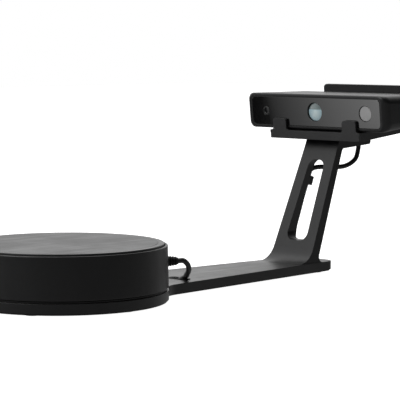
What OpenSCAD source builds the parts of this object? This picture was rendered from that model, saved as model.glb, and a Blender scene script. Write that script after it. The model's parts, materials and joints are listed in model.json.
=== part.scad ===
// Desktop scanner on a stand: a round turntable drum, a flat cast arm, a leaning slotted column and
// a cradle that holds a wide head with a projector between two cameras.
// Lengths are in millimetres. X runs from the turntable to the head and Z runs up.

/* [Foot and arm] */
// Radius of the round foot under the drum
foot_r = 105; // [100:1:115]
// Height of the cast foot and arm
cast_h = 9.5; // [8.5:0.5:12]
// Thickness of the side walls of the foot and arm
cast_wall = 3; // [2.5:0.5:4]
// Thickness of the top wall of the foot and arm
cast_roof = 3.5; // [3:0.5:4.5]
// Width of the arm at its free end
arm_end_w = 57; // [52:1:62]
// Angle between each side of the arm and its middle line
arm_taper = 4.5; // [3.5:0.5:5.5]
// Radius of the hollow curve between the foot and the arm
neck_r = 36; // [25:1:50]
// Radius of the corners at the arm's free end
arm_corner_r = 12; // [8:1:16]
// Length of the arm behind the column
stub_l = 31; // [26:1:40]
// Thickness of the cover under the foot and arm
cover_t = 1.6; // [1.2:0.2:2.4]
// Distance from the cover's edge to the casting's edge
cover_inset = 1.5; // [1:0.5:3]
// Radius of a rubber foot
pad_r = 8; // [6:1:10]
// Height of a rubber foot under the cover
pad_show = 1.4; // [1:0.2:3]

/* [Column] */
// Distance from the turntable's axis to the front of the column's foot
column_x = 334; // [320:1:350]
// Angle by which the column leans away from the turntable
column_lean = 22.7; // [18:0.1:26]
// Thickness of the column along the arm at its foot
column_t_foot = 13.5; // [12:0.5:17]
// Thickness of the column along the arm under the head
column_t_top = 9.2; // [8:0.2:12]
// Width of the column under the head
column_w_top = 49; // [44:1:54]
// Width of each leg beside the slot
leg_w = 13.8; // [12:0.2:16]
// Height of the slot's lower end above the arm
slot_rise = 23.5; // [18:0.5:30]
// Distance from the slot's upper end to the platform under the head
slot_drop = 13; // [8:0.5:16]
// Radius of the slot's corners
slot_r = 9; // [6:0.5:10]
// Radius of the hollow curve in front of the column
front_fillet = 25; // [15:1:35]
// Radius of the hollow curve behind the column
rear_fillet = 6; // [4:0.5:8]
// Length of the platform behind the column
platform_l = 49; // [44:1:54]
// Depth of the platform at the column, below the cradle
platform_h = 16.5; // [14:0.5:20]
// Angle of the platform's underside
platform_rise = 4; // [3:0.5:6]

/* [Turntable] */
// Step between the foot's edge and the drum
foot_step = 0.2; // [0.1:0.1:0.8]
// Height of the drum from the casting to its rim
drum_h = 45; // [44:0.5:52]
// Inward lean of the drum's wall over its height
drum_draft = 0.8; // [0:0.2:1.6]
// Thickness of the drum's wall
drum_wall = 2.6; // [2.2:0.2:3.4]
// Height of the groove between the foot and the drum
groove_h = 2.2; // [1.6:0.2:3]
// Depth of the groove between the foot and the drum
groove_d = 2.2; // [1.4:0.2:3]
// Width of the drum's edge outside the turning plate
rim_w = 4.2; // [4:0.2:5]
// Thickness of the turning plate
plate_t = 4; // [3.5:0.5:5]
// Height of the plate's top above the drum's rim
plate_proud = 2; // [1:0.2:2.6]
// Bare edge of the plate round the soft mat
mat_edge = 6.6; // [4:0.2:20]
// Thickness of the soft mat
mat_t = 1; // [0.8:0.1:1.4]

/* [Drive] */
// Module of the gear teeth
gear_m = 1.5; // [1.4:0.05:1.6]
// Teeth on the driven gear
gear_teeth = 60; // [54:2:64]
// Teeth on the motor's pinion
pinion_teeth = 15; // [15:1:17]
// Width of the gear teeth
gear_w = 5; // [4:0.5:6]
// Radius of the spindle
spindle_r = 8.5; // [8:0.5:9]
// Outer radius of the spindle's bearing
bearing_r = 17.5; // [17:0.5:19]
// Height of the spindle's bearing
bearing_h = 10; // [9:0.5:11]
// Radius of a bearing ball
ball_r = 2.4; // [2:0.1:2.6]
// Number of bearing balls
balls = 9; // [7:1:10]
// Thickness of the drive frame
frame_t = 3; // [2.5:0.5:4]
// Distance from the turntable's axis to the posts of the drive frame
post_ring_r = 82; // [80:1:84]
// Side of the square motor
motor_side = 42.3; // [40:0.1:43]
// Height of the motor
motor_h = 20; // [18:0.5:20.5]
// Distance between neighbouring motor screws
motor_pitch = 31; // [30:0.5:32]
// Radius of the motor's shaft
shaft_r = 2.5; // [2:0.1:3]

/* [Cradle] */
// Angle by which the head looks down
tilt = 6; // [4:0.5:9]
// Width of the cradle
cradle_w = 136; // [128:2:142]
// Height of the cradle's edge
cradle_h = 9.4; // [8.4:0.2:12]
// Thickness of the cradle's floor and walls
cradle_t = 3; // [2.6:0.2:3.6]
// Height of the hooks above the cradle's floor
hook_h = 13.5; // [10:0.5:16]
// Width of a hook
hook_w = 20; // [16:1:22]
// Distance from the cradle's end to a hook
hook_end = 6; // [4:0.5:8]
// Height of the rear plate above the cradle's floor
rear_h = 40.8; // [36:0.2:44]
// Thickness of the soft strips under the head
strip_t = 1.4; // [1:0.2:2]

/* [Head] */
// Distance from the turntable's axis to the head's front lower edge
head_x = 377; // [372:1:382]
// Height of the head's front lower edge above the table
head_z = 158.5; // [155:0.5:166]
// Width of the head
head_w = 210; // [204:1:216]
// Height of the head's front
head_h = 40.5; // [39:0.5:44]
// Depth of the head
head_d = 95; // [92:1:98]
// Radius of the head's upright corners
head_corner_r = 8; // [6:0.5:12]
// Radius of the corners of the head's front
head_face_r = 9; // [6:0.5:10]
// Radius of the head's long edges
head_edge_r = 2.2; // [1:0.2:3]
// Thickness of the head's walls
head_wall = 2.5; // [2:0.1:3]
// Depth of the head's rear cover
rear_cover_d = 9; // [8:0.5:10.5]
// Head's edge beside each end of the dark front window
window_end = 9.5; // [9:0.5:12]
// Head's edge above and below the dark front window
window_edge = 3.75; // [3.25:0.25:4.75]
// Thickness of the dark front window
window_t = 3; // [2:0.2:3.4]
// Radius of the window's corners
window_r = 5; // [3:0.5:7]
// Radius of the projector's lens
projector_r = 10.7; // [9:0.1:11.5]
// Radius of a camera's glass
camera_r = 8.8; // [7:0.1:10]
// Distance from the head's end to each camera
camera_end = 30.7; // [27:0.1:37]
// Side of the cooling fan
fan_side = 25; // [22:0.5:25]
// Depth of the cooling fan
fan_d = 7; // [6:0.5:7.5]
// Number of fan blades
blades = 7; // [5:1:9]
// Radius of the power button
button_r = 4.5; // [3.5:0.1:5]
// Travel of the power button
button_travel = 1.2; // [0.8:0.1:1.5]

/* [Cable] */
// Radius of the cable
cable_r = 2.7; // [2.5:0.1:2.9]
// Direction in which the cable leaves the drum
outlet_turn = -27; // [-30:1:-24]
// Height of the cable's outlet above the casting
outlet_rise = 24.5; // [22:0.5:27]
// Length of the cable's sleeve outside the drum
sleeve_l = 15; // [12:0.5:18]

/* [Hidden] */

// Clearances
fit_gap = 0.05;
seat_gap = 0.1;
soft_gap = 0.3;
turn_gap = 0.9;
eps = 1;

// Sizes that follow the foot and the head
drum_r = foot_r - foot_step;
plate_r = drum_r - rim_w;
mat_r = plate_r - mat_edge;
head_hw = head_w / 2;
window_w = head_w - 2 * window_end;
window_h = head_h - 2 * window_edge;
camera_y = head_hw - camera_end;

// Screws
m3_r = 1.5;
m4_r = 2;
m3_head_r = 2.8;
m4_head_r = 3.8;
post_r = 6;

// Levels of the foot, the arm and the drum
cast_z = pad_show + cover_t;
cast_top = cast_z + cast_h;
rim_z = cast_top + drum_h;
plate_top = rim_z + plate_proud;
plate_z = plate_top - plate_t;
flange_t = 3;
gear_z = plate_z - flange_t - gear_w;
spacer_t = 1.5;
bearing_z = gear_z - spacer_t - bearing_h;
seat_lip = 2;
frame_z = bearing_z - seat_lip;

// Arm and column
stub_x = column_x + column_t_foot + stub_l;
function arm_hw(x) = arm_end_w / 2 + (stub_x - x) * tan(arm_taper);
platform_z = head_z - strip_t - cradle_t - platform_h;
column_foot_hw = arm_hw(column_x + column_t_foot + rear_fillet * 1.5) - seat_gap;
column_top_hw = column_w_top / 2;
function front_x(z) = column_x + (z - cast_top) * tan(column_lean);
function column_t(z) = column_t_foot
    + (column_t_top - column_t_foot) * (z - cast_top) / (platform_z - cast_top);
function rear_x(z) = front_x(z) + column_t(z);
function column_hw(z) = column_foot_hw
    + (column_top_hw - column_foot_hw) * (z - cast_top) / (platform_z - cast_top);
rear_lean = atan(tan(column_lean) + (column_t_top - column_t_foot) / (platform_z - cast_top));

// Cradle and head, in a frame that starts at the head's front lower edge and tilts with the head
floor_z = -strip_t;
floor_under = floor_z - cradle_t;
cradle_front = -(soft_gap + cradle_t);
cradle_rear = head_d + soft_gap + cradle_t;
cradle_hw = cradle_w / 2;
seam_u = head_d - rear_cover_d;
lens_w = head_h / 2;
function head_top(u) = head_h - u * tan(tilt);
fixing_head_t = 2.4;
fixing_w = 13;
x_end = head_x + max(cradle_rear * cos(tilt) + (cradle_h + strip_t) * sin(tilt),
    (cradle_rear + fixing_head_t) * cos(tilt) - (fixing_w - m4_head_r) * sin(tilt));
frame_shift = (x_end - foot_r) / 2;
cable_u = 78;
cable_v = 2;
clip_z = 101;

// Colours
black_paint = "#1c1c1e";
black_plastic = "#242426";
dark_grey = "#343436";
rubber_black = "#141414";
steel = "#a8abae";
brass = "#b58d3d";
board_green = "#1f5a38";

// ---- Outlines -------------------------------------------------------------------------------------

function unit(v) = v / norm(v);
function turned(a) = a > 180 ? a - 360 : a < -180 ? a + 360 : a;
function arc(m, r, a0, a1, n) = [for (i = [0:n]) m + r * [cos(a0 + (a1 - a0) * i / n),
    sin(a0 + (a1 - a0) * i / n)]];

// Points of one rounded corner at b, between its neighbours a and c
function corner(a, b, c, r, n) =
    let (
        u = unit(a - b),
        v = unit(c - b),
        half = acos(u * v) / 2,
        m = b + unit(u + v) * r / sin(half),
        p = b + u * r / tan(half) - m,
        q = b + v * r / tan(half) - m,
        a0 = atan2(p[1], p[0]),
        sweep = turned(atan2(q[1], q[0]) - a0)
    )
    r <= 0 ? [b] : arc(m, r, a0, a0 + sweep, n);

// Outline p with the radius r[i] at its corner i
function rounded(p, r, n = 6) = [for (i = [0:len(p) - 1])
    each corner(p[(i + len(p) - 1) % len(p)], p[i], p[(i + 1) % len(p)], r[i], n)];

function box_points(x0, y0, x1, y1) = [[x0, y0], [x1, y0], [x1, y1], [x0, y1]];
function mirrored(p) = [for (i = [len(p) - 1:-1:0]) [p[i][0], -p[i][1]]];

module rounded_plate(w, h, r, t) {
    linear_extrude(t)
        polygon(rounded(box_points(-w / 2, -h / 2, w / 2, h / 2), [r, r, r, r]));
}

// Half outline of the foot and arm, from the free end round to the far side of the foot
function plan_half(inset) =
    let (
        c = [stub_x - arm_corner_r, arm_hw(stub_x - arm_corner_r) - arm_corner_r / cos(arm_taper)],
        n = [sin(arm_taper), cos(arm_taper)],
        reach = arm_hw(0) * cos(arm_taper) + neck_r,
        far = foot_r + neck_r,
        f = reach * n + sqrt(far * far - reach * reach) * [n[1], -n[0]],
        turn_f = atan2(f[1], f[0])
    )
    concat(
        arc(c, arm_corner_r - inset, 0, 90 - arm_taper, 8),
        arc(f, neck_r + inset, 270 - arm_taper, 180 + turn_f, 12),
        arc([0, 0], foot_r - inset, turn_f, 180, 48)
    );

module plan_outline(inset = 0) {
    half = plan_half(inset);
    polygon(concat(half, mirrored([for (i = [0:len(half) - 2]) half[i]])));
}

// Side view of the column with its platform
function column_side() =
    let (
        top_z = head_z + floor_under * cos(tilt),
        front_top = (top_z - cast_top + (column_x - head_x) * 0) ,
        rear_end = rear_x(platform_z) + platform_l,
        fx = front_x(platform_z + platform_h)
    )
    rounded(
        [
            [column_x - front_fillet * 2, cast_top],
            [column_x, cast_top],
            [fx, platform_top(fx)],
            [rear_end, platform_top(rear_end)],
            [rear_end, platform_z + platform_l * tan(platform_rise)],
            [rear_x(platform_z), platform_z],
            [column_x + column_t_foot, cast_top],
            [stub_x - arm_corner_r, cast_top],
            [stub_x - arm_corner_r, cast_top - cast_roof / 2],
            [column_x - front_fillet * 2, cast_top - cast_roof / 2]
        ],
        [0, front_fillet, 0, 0, 3, 4, rear_fillet, 0, 0, 0], 10
    );

// Height of the underside of the cradle's floor over a point of the arm's middle line
function platform_top(x) = head_z + floor_under / cos(tilt) + (x - head_x) * tan(tilt);

// Front view of the column
function column_front() =
    [
        [-column_foot_hw, cast_top - cast_roof / 2],
        [column_foot_hw, cast_top - cast_roof / 2],
        [column_foot_hw, cast_top],
        [column_top_hw, platform_z],
        [column_top_hw, head_z + head_h],
        [-column_top_hw, head_z + head_h],
        [-column_top_hw, platform_z],
        [-column_foot_hw, cast_top]
    ];

// Front view of the slot, with its sides at an even distance from the column's edges
function slot_front() =
    let (
        z0 = cast_top + slot_rise,
        z1 = platform_z - slot_drop,
        y0 = column_hw(z0) - leg_w,
        y1 = column_hw(z1) - leg_w
    )
    rounded([[-y0, z0], [y0, z0], [y1, z1], [-y1, z1]], [slot_r, slot_r, slot_r, slot_r], 8);

// Stands an outline drawn in X and Z up, with the thickness w across it
module upright(w) {
    rotate([90, 0, 0])
        linear_extrude(w, center = true)
            children();
}

// Runs an outline drawn in Y and Z along X, from x0 over the length l
module along_x(x0, l) {
    translate([x0, 0, 0])
        rotate([90, 0, 90])
            linear_extrude(l)
                children();
}

// Moves a piece into the frame whose origin is the middle of the whole object's underside
module placed() {
    translate([-frame_shift, 0, 0])
        children();
}

// Moves a piece into the frame of the cradle and head
module tilted() {
    translate([head_x, 0, head_z])
        rotate([0, -tilt, 0])
            children();
}

// Copies a piece to places on a ring
module around(r, angles) {
    for (a = angles)
        rotate([0, 0, a])
            translate([r, 0, 0])
                children();
}

// A screw with its head's underside at the origin and its shank along -Z
module screw(r, l, head_r, head_h, driver_r) {
    translate([0, 0, -l])
        cylinder(r = r, h = l + head_h / 2, $fn = 20);
    difference() {
        cylinder(r = head_r, h = head_h, $fn = 28);
        translate([0, 0, head_h / 2])
            cylinder(r = driver_r, h = head_h, $fn = 6);
    }
}

// A flat-headed screw with its head's top at the origin and its shank along -Z
module flat_screw(r, l, head_r) {
    translate([0, 0, -l])
        cylinder(r = r, h = l - head_r + r, $fn = 20);
    difference() {
        translate([0, 0, r - head_r])
            cylinder(r1 = r, r2 = head_r, h = head_r - r, $fn = 28);
        translate([0, 0, -(head_r - r) / 2])
            cylinder(r = r * 0.8, h = head_r, $fn = 6);
    }
}

// The space of a flat-headed screw, from its head's top down over the length l
module flat_screw_space(r, l, head_r) {
    translate([0, 0, -l])
        cylinder(r = r + seat_gap, h = l + eps, $fn = 20);
    translate([0, 0, r - head_r])
        cylinder(r1 = r + seat_gap, r2 = head_r + seat_gap, h = head_r - r, $fn = 28);
    cylinder(r = head_r + seat_gap, h = eps, $fn = 28);
}

// ---- Foot, arm and column -------------------------------------------------------------------------

cover_screw_turns = [60, 120, 180, 240, 300];
cover_screw_ring = foot_r - cast_wall - cover_inset - 9;
function cover_screw_spots() = concat(
    [for (a = cover_screw_turns) cover_screw_ring * [cos(a), sin(a)]],
    [for (x = [foot_r + neck_r, (foot_r + column_x) / 2 + 30], s = [-1, 1])
        [x, s * (arm_hw(x) - cast_wall - 8)]],
    [[stub_x - cast_wall - 8, 0]]
);
function foot_spots() = concat(
    [for (a = [30, 90, 150, 210, 270, 330]) (cover_screw_ring - 2) * [cos(a), sin(a)]],
    [for (s = [-1, 1]) [stub_x - arm_corner_r - pad_r, s * (arm_end_w / 2 - pad_r - 5)]]
);
post_turns = [45, 135, 225, 315];
drum_screw_turns = [15, 75, 105, 165, 195, 255, 285, 345];
drum_screw_ring = drum_r - groove_d - 4;
inlet = [foot_r + 37, -20];
rib_xs = [for (i = [1:4]) inlet[0] + i * (column_x - inlet[0]) / 5];
outlet_x = column_x + column_t_foot + rear_fillet / tan((90 - rear_lean) / 2) + cable_r + 3;
clip_y = column_hw(clip_z) - leg_w / 2 + 0.5;
inlet_w = 26;
channel_hw = 6;
inlet_l = 8;

// Middle line of the cable's channel under the arm
function channel_y(x) = inlet[1] + inlet_w / 2
    + (clip_y - inlet[1] - inlet_w / 2) * (x - inlet[0]) / (outlet_x - inlet[0]);

module cavity() {
    difference() {
        translate([0, 0, cast_z - eps])
            linear_extrude(cast_h - cast_roof + eps)
                plan_outline(cast_wall);
        for (p = cover_screw_spots())
            translate([p[0], p[1], cast_z - 2 * eps])
                cylinder(r = 4.5, h = cast_h, $fn = 24);
        around(post_ring_r, post_turns)
            translate([0, 0, cast_z + 2])
                cylinder(r = post_r, h = cast_h, $fn = 24);
        for (x = rib_xs) {
            translate([x, channel_y(x) + channel_hw, cast_z + 1])
                cube([2, arm_hw(x), cast_h]);
            translate([x, channel_y(x) - channel_hw - arm_hw(x) * 2, cast_z + 1])
                cube([2, arm_hw(x) * 2, cast_h]);
        }
        for (s = [-1, 1])
            translate([foot_r * 0.4, s * 9 - 1, cast_z + 2])
                cube([foot_r * 0.55, 2, cast_h]);
    }
}

module cable_slot(grow) {
    translate([inlet[0], inlet[1], 0])
        translate([0, 0, cast_z])
            rotate([0, 0, 90])
                rounded_plate(inlet_w + 2 * grow, inlet_l + 2 * grow, inlet_l / 2 + grow, 3 * cast_h);
}

module base_casting() color(black_paint) {
    difference() {
        union() {
            translate([0, 0, cast_z])
                linear_extrude(cast_h)
                    plan_outline();
            intersection() {
                upright(3 * column_foot_hw)
                    polygon(column_side());
                along_x(column_x - 2 * front_fillet, platform_l + column_x)
                    polygon(column_front());
            }
        }
        cavity();
        along_x(column_x, 2 * platform_l + column_t_foot)
            polygon(slot_front());
        cable_slot(0);
        translate([outlet_x, clip_y, cast_z])
            cylinder(r = cable_r + 1.6, h = 2 * cast_h, $fn = 28);
        for (p = cover_screw_spots())
            translate([p[0], p[1], cast_z - eps])
                cylinder(r = m3_r, h = 6 + eps, $fn = 20);
        around(post_ring_r, post_turns)
            translate([0, 0, cast_z])
                cylinder(r = m4_r + seat_gap, h = 2 * cast_h, $fn = 20);
        around(drum_screw_ring, drum_screw_turns)
            translate([0, 0, cast_z + 2])
                cylinder(r = m3_r + seat_gap, h = 2 * cast_h, $fn = 20);
        tilted()
            for (p = platform_screw_spots())
                translate([p[0], p[1], floor_under - 12])
                    cylinder(r = m4_r, h = 12 + eps, $fn = 20);
    }
}

module underside_cover() color(dark_grey) {
    difference() {
        translate([0, 0, pad_show])
            linear_extrude(cover_t)
                plan_outline(cover_inset);
        for (p = cover_screw_spots())
            translate([p[0], p[1], pad_show])
                mirror([0, 0, 1])
                    flat_screw_space(m3_r, 2 * cover_t, m3_head_r);
        for (p = foot_spots())
            translate([p[0], p[1], pad_show - eps])
                cylinder(r = pad_r + seat_gap, h = cover_t / 2 + eps, $fn = 36);
    }
}

module rubber_feet() color(rubber_black) {
    for (p = foot_spots())
        translate([p[0], p[1], 0])
            rotate_extrude($fn = 36)
                polygon(rounded(box_points(0, 0, pad_r, pad_show + cover_t / 2), [0, 0.6, 0, 0], 3));
}

module cover_screws() color(steel) {
    for (p = cover_screw_spots())
        translate([p[0], p[1], pad_show])
            mirror([0, 0, 1])
                flat_screw(m3_r - fit_gap, cover_t + 5, m3_head_r);
}

// ---- Drum -----------------------------------------------------------------------------------------

rim_r = drum_r - drum_draft;
ledge_r = plate_r - 5;

module drum_housing() color(black_plastic) {
    inner = rim_r - drum_wall;
    lip_z = plate_z - turn_gap;
    difference() {
        rotate_extrude($fn = 128)
            polygon(rounded(
                [
                    [drum_r - groove_d - 8, cast_top], [drum_r - groove_d, cast_top],
                    [drum_r - groove_d, cast_top + groove_h], [drum_r, cast_top + groove_h],
                    [rim_r, rim_z], [plate_r + turn_gap, rim_z],
                    [plate_r + turn_gap, lip_z], [ledge_r, lip_z], [ledge_r, lip_z - 1.6],
                    [inner, lip_z - 6], [inner, cast_top + groove_h + 2.4],
                    [drum_r - groove_d - 8, cast_top + groove_h + 2.4]
                ],
                [0, 0, 0.8, 1.4, 1, 0.4, 0, 0, 0, 0, 2, 0], 4
            ));
        around(drum_screw_ring, drum_screw_turns)
            translate([0, 0, cast_top - eps])
                cylinder(r = m3_r, h = groove_h + 4, $fn = 20);
        outlet()
            rotate([0, 90, 0])
                translate([0, 0, -drum_wall * 3])
                    cylinder(r = cable_r + 2, h = 6 * drum_wall, $fn = 32);
    }
}

module drum_screws() color(steel) {
    around(drum_screw_ring, drum_screw_turns)
        translate([0, 0, cast_z + 2 + cast_h - cast_roof - 2])
            mirror([0, 0, 1])
                screw(m3_r - fit_gap, cast_roof + groove_h + 1.5, m3_head_r, 2, 1.2);
}

// Frame of the cable's outlet, with X pointing out of the drum's wall
module outlet() {
    rotate([0, 0, outlet_turn])
        translate([rim_r, 0, cast_top + outlet_rise])
            children();
}

module drum_cable_sleeve() color(rubber_black) {
    bore = cable_r + fit_gap;
    body = cable_r + 1.9;
    outlet()
        rotate([0, 90, 0])
            rotate_extrude($fn = 32)
                polygon(concat(
                    [[bore, -drum_wall - 2.5], [body + 2, -drum_wall - 2.5], [body + 2, -drum_wall - 0.6],
                     [body, -drum_wall - 0.6], [body, 1.2], [body + 1.4, 1.2], [body + 1.4, 3]],
                    [for (i = [0:3]) each sleeve_rib(3.4 + i * (sleeve_l - 4) / 4, (sleeve_l - 4) / 4,
                        cable_r + 2.8 - i * 0.35)],
                    [[cable_r + 0.9, sleeve_l], [bore, sleeve_l]]
                ));
}

function sleeve_rib(z, pitch, r) = [[r - 1.2, z], [r, z + 0.4], [r, z + pitch * 0.6],
    [r - 1.2, z + pitch * 0.75]];

// ---- Drive ----------------------------------------------------------------------------------------

gear_r = gear_m * gear_teeth / 2;
pinion_r = gear_m * pinion_teeth / 2;
motor_x = -(gear_r + pinion_r);
motor_z = frame_z - motor_h;
hub_r = bearing_r + 4;

module drive_frame() color(steel) {
    difference() {
        union() {
            translate([0, 0, frame_z])
                cylinder(r = hub_r + 6, h = frame_t, $fn = 48);
            translate([0, 0, frame_z])
                cylinder(r = hub_r, h = seat_lip + bearing_h - 0.5, $fn = 48);
            for (a = post_turns)
                rotate([0, 0, a])
                    translate([hub_r + 3, -7, frame_z])
                        cube([post_ring_r - hub_r - 3, 14, frame_t]);
            around(post_ring_r, post_turns) {
                translate([0, 0, frame_z])
                    cylinder(r = 8, h = frame_t, $fn = 32);
                translate([0, 0, cast_top])
                    cylinder(r = post_r, h = frame_z - cast_top + frame_t / 2, $fn = 32);
            }
            translate([motor_x - motor_side / 2 - 3, -motor_side / 2 - 3, frame_z])
                cube([-motor_x + motor_side / 2 - hub_r, motor_side + 6, frame_t]);
        }
        translate([0, 0, bearing_z])
            cylinder(r = bearing_r + fit_gap, h = bearing_h + eps, $fn = 64);
        translate([0, 0, frame_z - eps])
            cylinder(r = bearing_r - 3.5, h = frame_t + seat_lip, $fn = 48);
        translate([motor_x, 0, frame_z - eps])
            cylinder(r = motor_boss_r + seat_gap, h = frame_t + 2 * eps, $fn = 40);
        for (x = [-1, 1], y = [-1, 1])
            translate([motor_x + x * motor_pitch / 2, y * motor_pitch / 2, frame_z - eps])
                cylinder(r = m3_r + seat_gap, h = frame_t + 2 * eps, $fn = 20);
        around(post_ring_r, post_turns)
            translate([0, 0, cast_top - eps])
                cylinder(r = m4_r, h = 12, $fn = 20);
    }
}

module frame_screws() color(steel) {
    around(post_ring_r, post_turns)
        translate([0, 0, cast_z + 2])
            mirror([0, 0, 1])
                screw(m4_r - fit_gap, cast_h + 6, m4_head_r, 2, 1.6);
}

race_r = (spindle_r + bearing_r) / 2;
ring_t = (bearing_r - spindle_r) / 3.6;

module bearing_ring(r0, r1) {
    difference() {
        translate([0, 0, bearing_z])
            difference() {
                cylinder(r = r1, h = bearing_h, $fn = 64);
                translate([0, 0, -eps])
                    cylinder(r = r0, h = bearing_h + 2 * eps, $fn = 64);
            }
        translate([0, 0, bearing_z + bearing_h / 2])
            rotate_extrude($fn = 64)
                translate([race_r, 0])
                    circle(r = ball_r + soft_gap, $fn = 32);
    }
}

module bearing_outer_ring() color(steel) {
    bearing_ring(bearing_r - ring_t, bearing_r);
}

module bearing_inner_ring() color(steel) {
    bearing_ring(spindle_r + fit_gap, spindle_r + ring_t);
}

module bearing_balls() color(steel) {
    around(race_r, [for (i = [0:balls - 1]) i * 360 / balls])
        translate([0, 0, bearing_z + bearing_h / 2])
            sphere(r = ball_r, $fn = 24);
}

module bearing_spacer() color(steel) {
    translate([0, 0, bearing_z + bearing_h])
        difference() {
            cylinder(r = spindle_r + ring_t, h = spacer_t, $fn = 48);
            translate([0, 0, -eps])
                cylinder(r = spindle_r + fit_gap, h = spacer_t + 2 * eps, $fn = 48);
        }
}

flange_r = 20;
plate_screw_ring = 14.5;
plate_screw_turns = [0, 90, 180, 270];

module spindle() color(steel) {
    difference() {
        union() {
            translate([0, 0, bearing_z + 0.3])
                cylinder(r = spindle_r, h = plate_z - bearing_z - 0.3, $fn = 64);
            translate([0, 0, plate_z - flange_t])
                cylinder(r = flange_r, h = flange_t, $fn = 64);
        }
        translate([0, 0, bearing_z - eps])
            cylinder(r = m4_r, h = 12 + eps, $fn = 24);
        around(plate_screw_ring, plate_screw_turns)
            translate([0, 0, plate_z - flange_t - eps])
                cylinder(r = m3_r, h = flange_t + 2 * eps, $fn = 20);
    }
}

module spindle_washer() color(steel) {
    translate([0, 0, frame_z])
        difference() {
            cylinder(r = spindle_r + ring_t, h = seat_lip, $fn = 48);
            translate([0, 0, -eps])
                cylinder(r = m4_r + seat_gap, h = seat_lip + 2 * eps, $fn = 24);
        }
}

module spindle_screw() color(steel) {
    translate([0, 0, frame_z])
        mirror([0, 0, 1])
            screw(m4_r - fit_gap, 11, m4_head_r, 2.4, 1.6);
}

// Points of one tooth flank of an involute gear, from its root to its tip
function involute(rb, r) = let (a = acos(min(1, rb / r))) tan(a) * 180 / PI - a;
function flank(rp, rb, half, r) = half + involute(rb, rp) - involute(rb, max(r, rb));

function gear_points(teeth, root, tip, play) =
    let (
        rp = gear_m * teeth / 2,
        rb = rp * cos(20),
        half = 90 / teeth - play,
        rs = [root, max(root, rb), rp, (rp + tip) / 2, tip]
    )
    [for (i = [0:teeth - 1]) each concat(
        [for (k = [0:4]) let (a = i * 360 / teeth - flank(rp, rb, half, rs[k])) rs[k] * [cos(a), sin(a)]],
        [for (k = [4:-1:0]) let (a = i * 360 / teeth + flank(rp, rb, half, rs[k])) rs[k] * [cos(a), sin(a)]]
    )];

module driven_gear() color("#d8d6cf") {
    difference() {
        translate([0, 0, gear_z])
            linear_extrude(gear_w)
                polygon(gear_points(gear_teeth, gear_r - 1.25 * gear_m, gear_r + 0.9 * gear_m, 0.12));
        translate([0, 0, gear_z - eps])
            cylinder(r = spindle_r + fit_gap, h = gear_w + 2 * eps, $fn = 48);
        around(28, [30, 90, 150, 210, 270, 330])
            translate([0, 0, gear_z - eps])
                cylinder(r = 7, h = gear_w + 2 * eps, $fn = 32);
        around(magnet_ring_r, [0])
            translate([0, 0, gear_z - eps])
                cylinder(r = 2 + fit_gap, h = 3 + eps, $fn = 24);
    }
}

magnet_ring_r = 38.5;

module index_magnet() color(steel) {
    around(magnet_ring_r, [0])
        translate([0, 0, gear_z])
            cylinder(r = 2, h = 3 - fit_gap, $fn = 24);
}

module turntable_plate() color(dark_grey) {
    difference() {
        union() {
            rotate_extrude($fn = 128)
                polygon(rounded(
                    [[0, plate_z], [plate_r, plate_z], [plate_r, plate_top], [0, plate_top]],
                    [0, 0, 0.8, 0], 3
                ));
            rotate_extrude($fn = 96)
                translate([ledge_r - 6, plate_z - 2.6])
                    square([3, 2.6 + eps]);
        }
        translate([0, 0, plate_top - mat_t])
            cylinder(r = mat_r + soft_gap, h = mat_t + eps, $fn = 128);
        around(plate_screw_ring, plate_screw_turns)
            translate([0, 0, plate_top - mat_t])
                flat_screw_space(m3_r, plate_t, m3_head_r);
    }
}

module plate_screws() color(steel) {
    around(plate_screw_ring, plate_screw_turns)
        translate([0, 0, plate_top - mat_t])
            flat_screw(m3_r - fit_gap, plate_t + 1.5, m3_head_r);
}

module turntable_mat() color("#3a3a3c") {
    translate([0, 0, plate_top - mat_t])
        cylinder(r = mat_r, h = mat_t, $fn = 128);
}

motor_boss_r = 11;

module stepper_motor() color("#2b2b2d") {
    difference() {
        union() {
            translate([motor_x, 0, motor_z])
                linear_extrude(motor_h)
                    polygon(rounded(box_points(-motor_side / 2, -motor_side / 2, motor_side / 2,
                        motor_side / 2), [4, 4, 4, 4], 2));
            translate([motor_x, 0, motor_z + motor_h])
                cylinder(r = motor_boss_r, h = 2, $fn = 40);
        }
        translate([motor_x, 0, motor_z + 2])
            cylinder(r = shaft_r + fit_gap, h = motor_h + 2, $fn = 32);
        for (x = [-1, 1], y = [-1, 1])
            translate([motor_x + x * motor_pitch / 2, y * motor_pitch / 2, frame_z - 5])
                cylinder(r = m3_r, h = 5 + eps, $fn = 20);
    }
}

module motor_screws() color(steel) {
    for (x = [-1, 1], y = [-1, 1])
        translate([motor_x + x * motor_pitch / 2, y * motor_pitch / 2, frame_z + frame_t])
            screw(m3_r - fit_gap, frame_t + 4, m3_head_r, 2.4, 1.2);
}

module motor_shaft() color(steel) {
    translate([motor_x, 0, motor_z + 2 + seat_gap])
        cylinder(r = shaft_r, h = gear_z + gear_w + 0.6 - motor_z - 2, $fn = 32);
}

module motor_pinion() color(brass) {
    difference() {
        translate([motor_x, 0, gear_z - 0.5])
            linear_extrude(gear_w + 1)
                rotate([0, 0, 180 / pinion_teeth])
                    polygon(gear_points(pinion_teeth, pinion_r - 1.25 * gear_m,
                        pinion_r + 0.9 * gear_m, 0.5));
        translate([motor_x, 0, gear_z - eps])
            cylinder(r = shaft_r + fit_gap, h = gear_w + 2 * eps, $fn = 32);
    }
}

board = [52, 40, 1.6];
board_c = [56, 0];
board_rise = 5;

// Frame of the control board, over the foot beside the spindle
module board_frame() {
    translate([board_c[0], board_c[1], cast_top])
        children();
}

board_spots = [for (x = [-1, 1], y = [-1, 1]) [x * (board[0] / 2 - 4), y * (board[1] / 2 - 4)]];

module board_standoffs() color(brass) {
    board_frame()
        for (p = board_spots)
            translate([p[0], p[1], 0])
                cylinder(r = 2.6, h = board_rise, $fn = 6);
}

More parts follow.
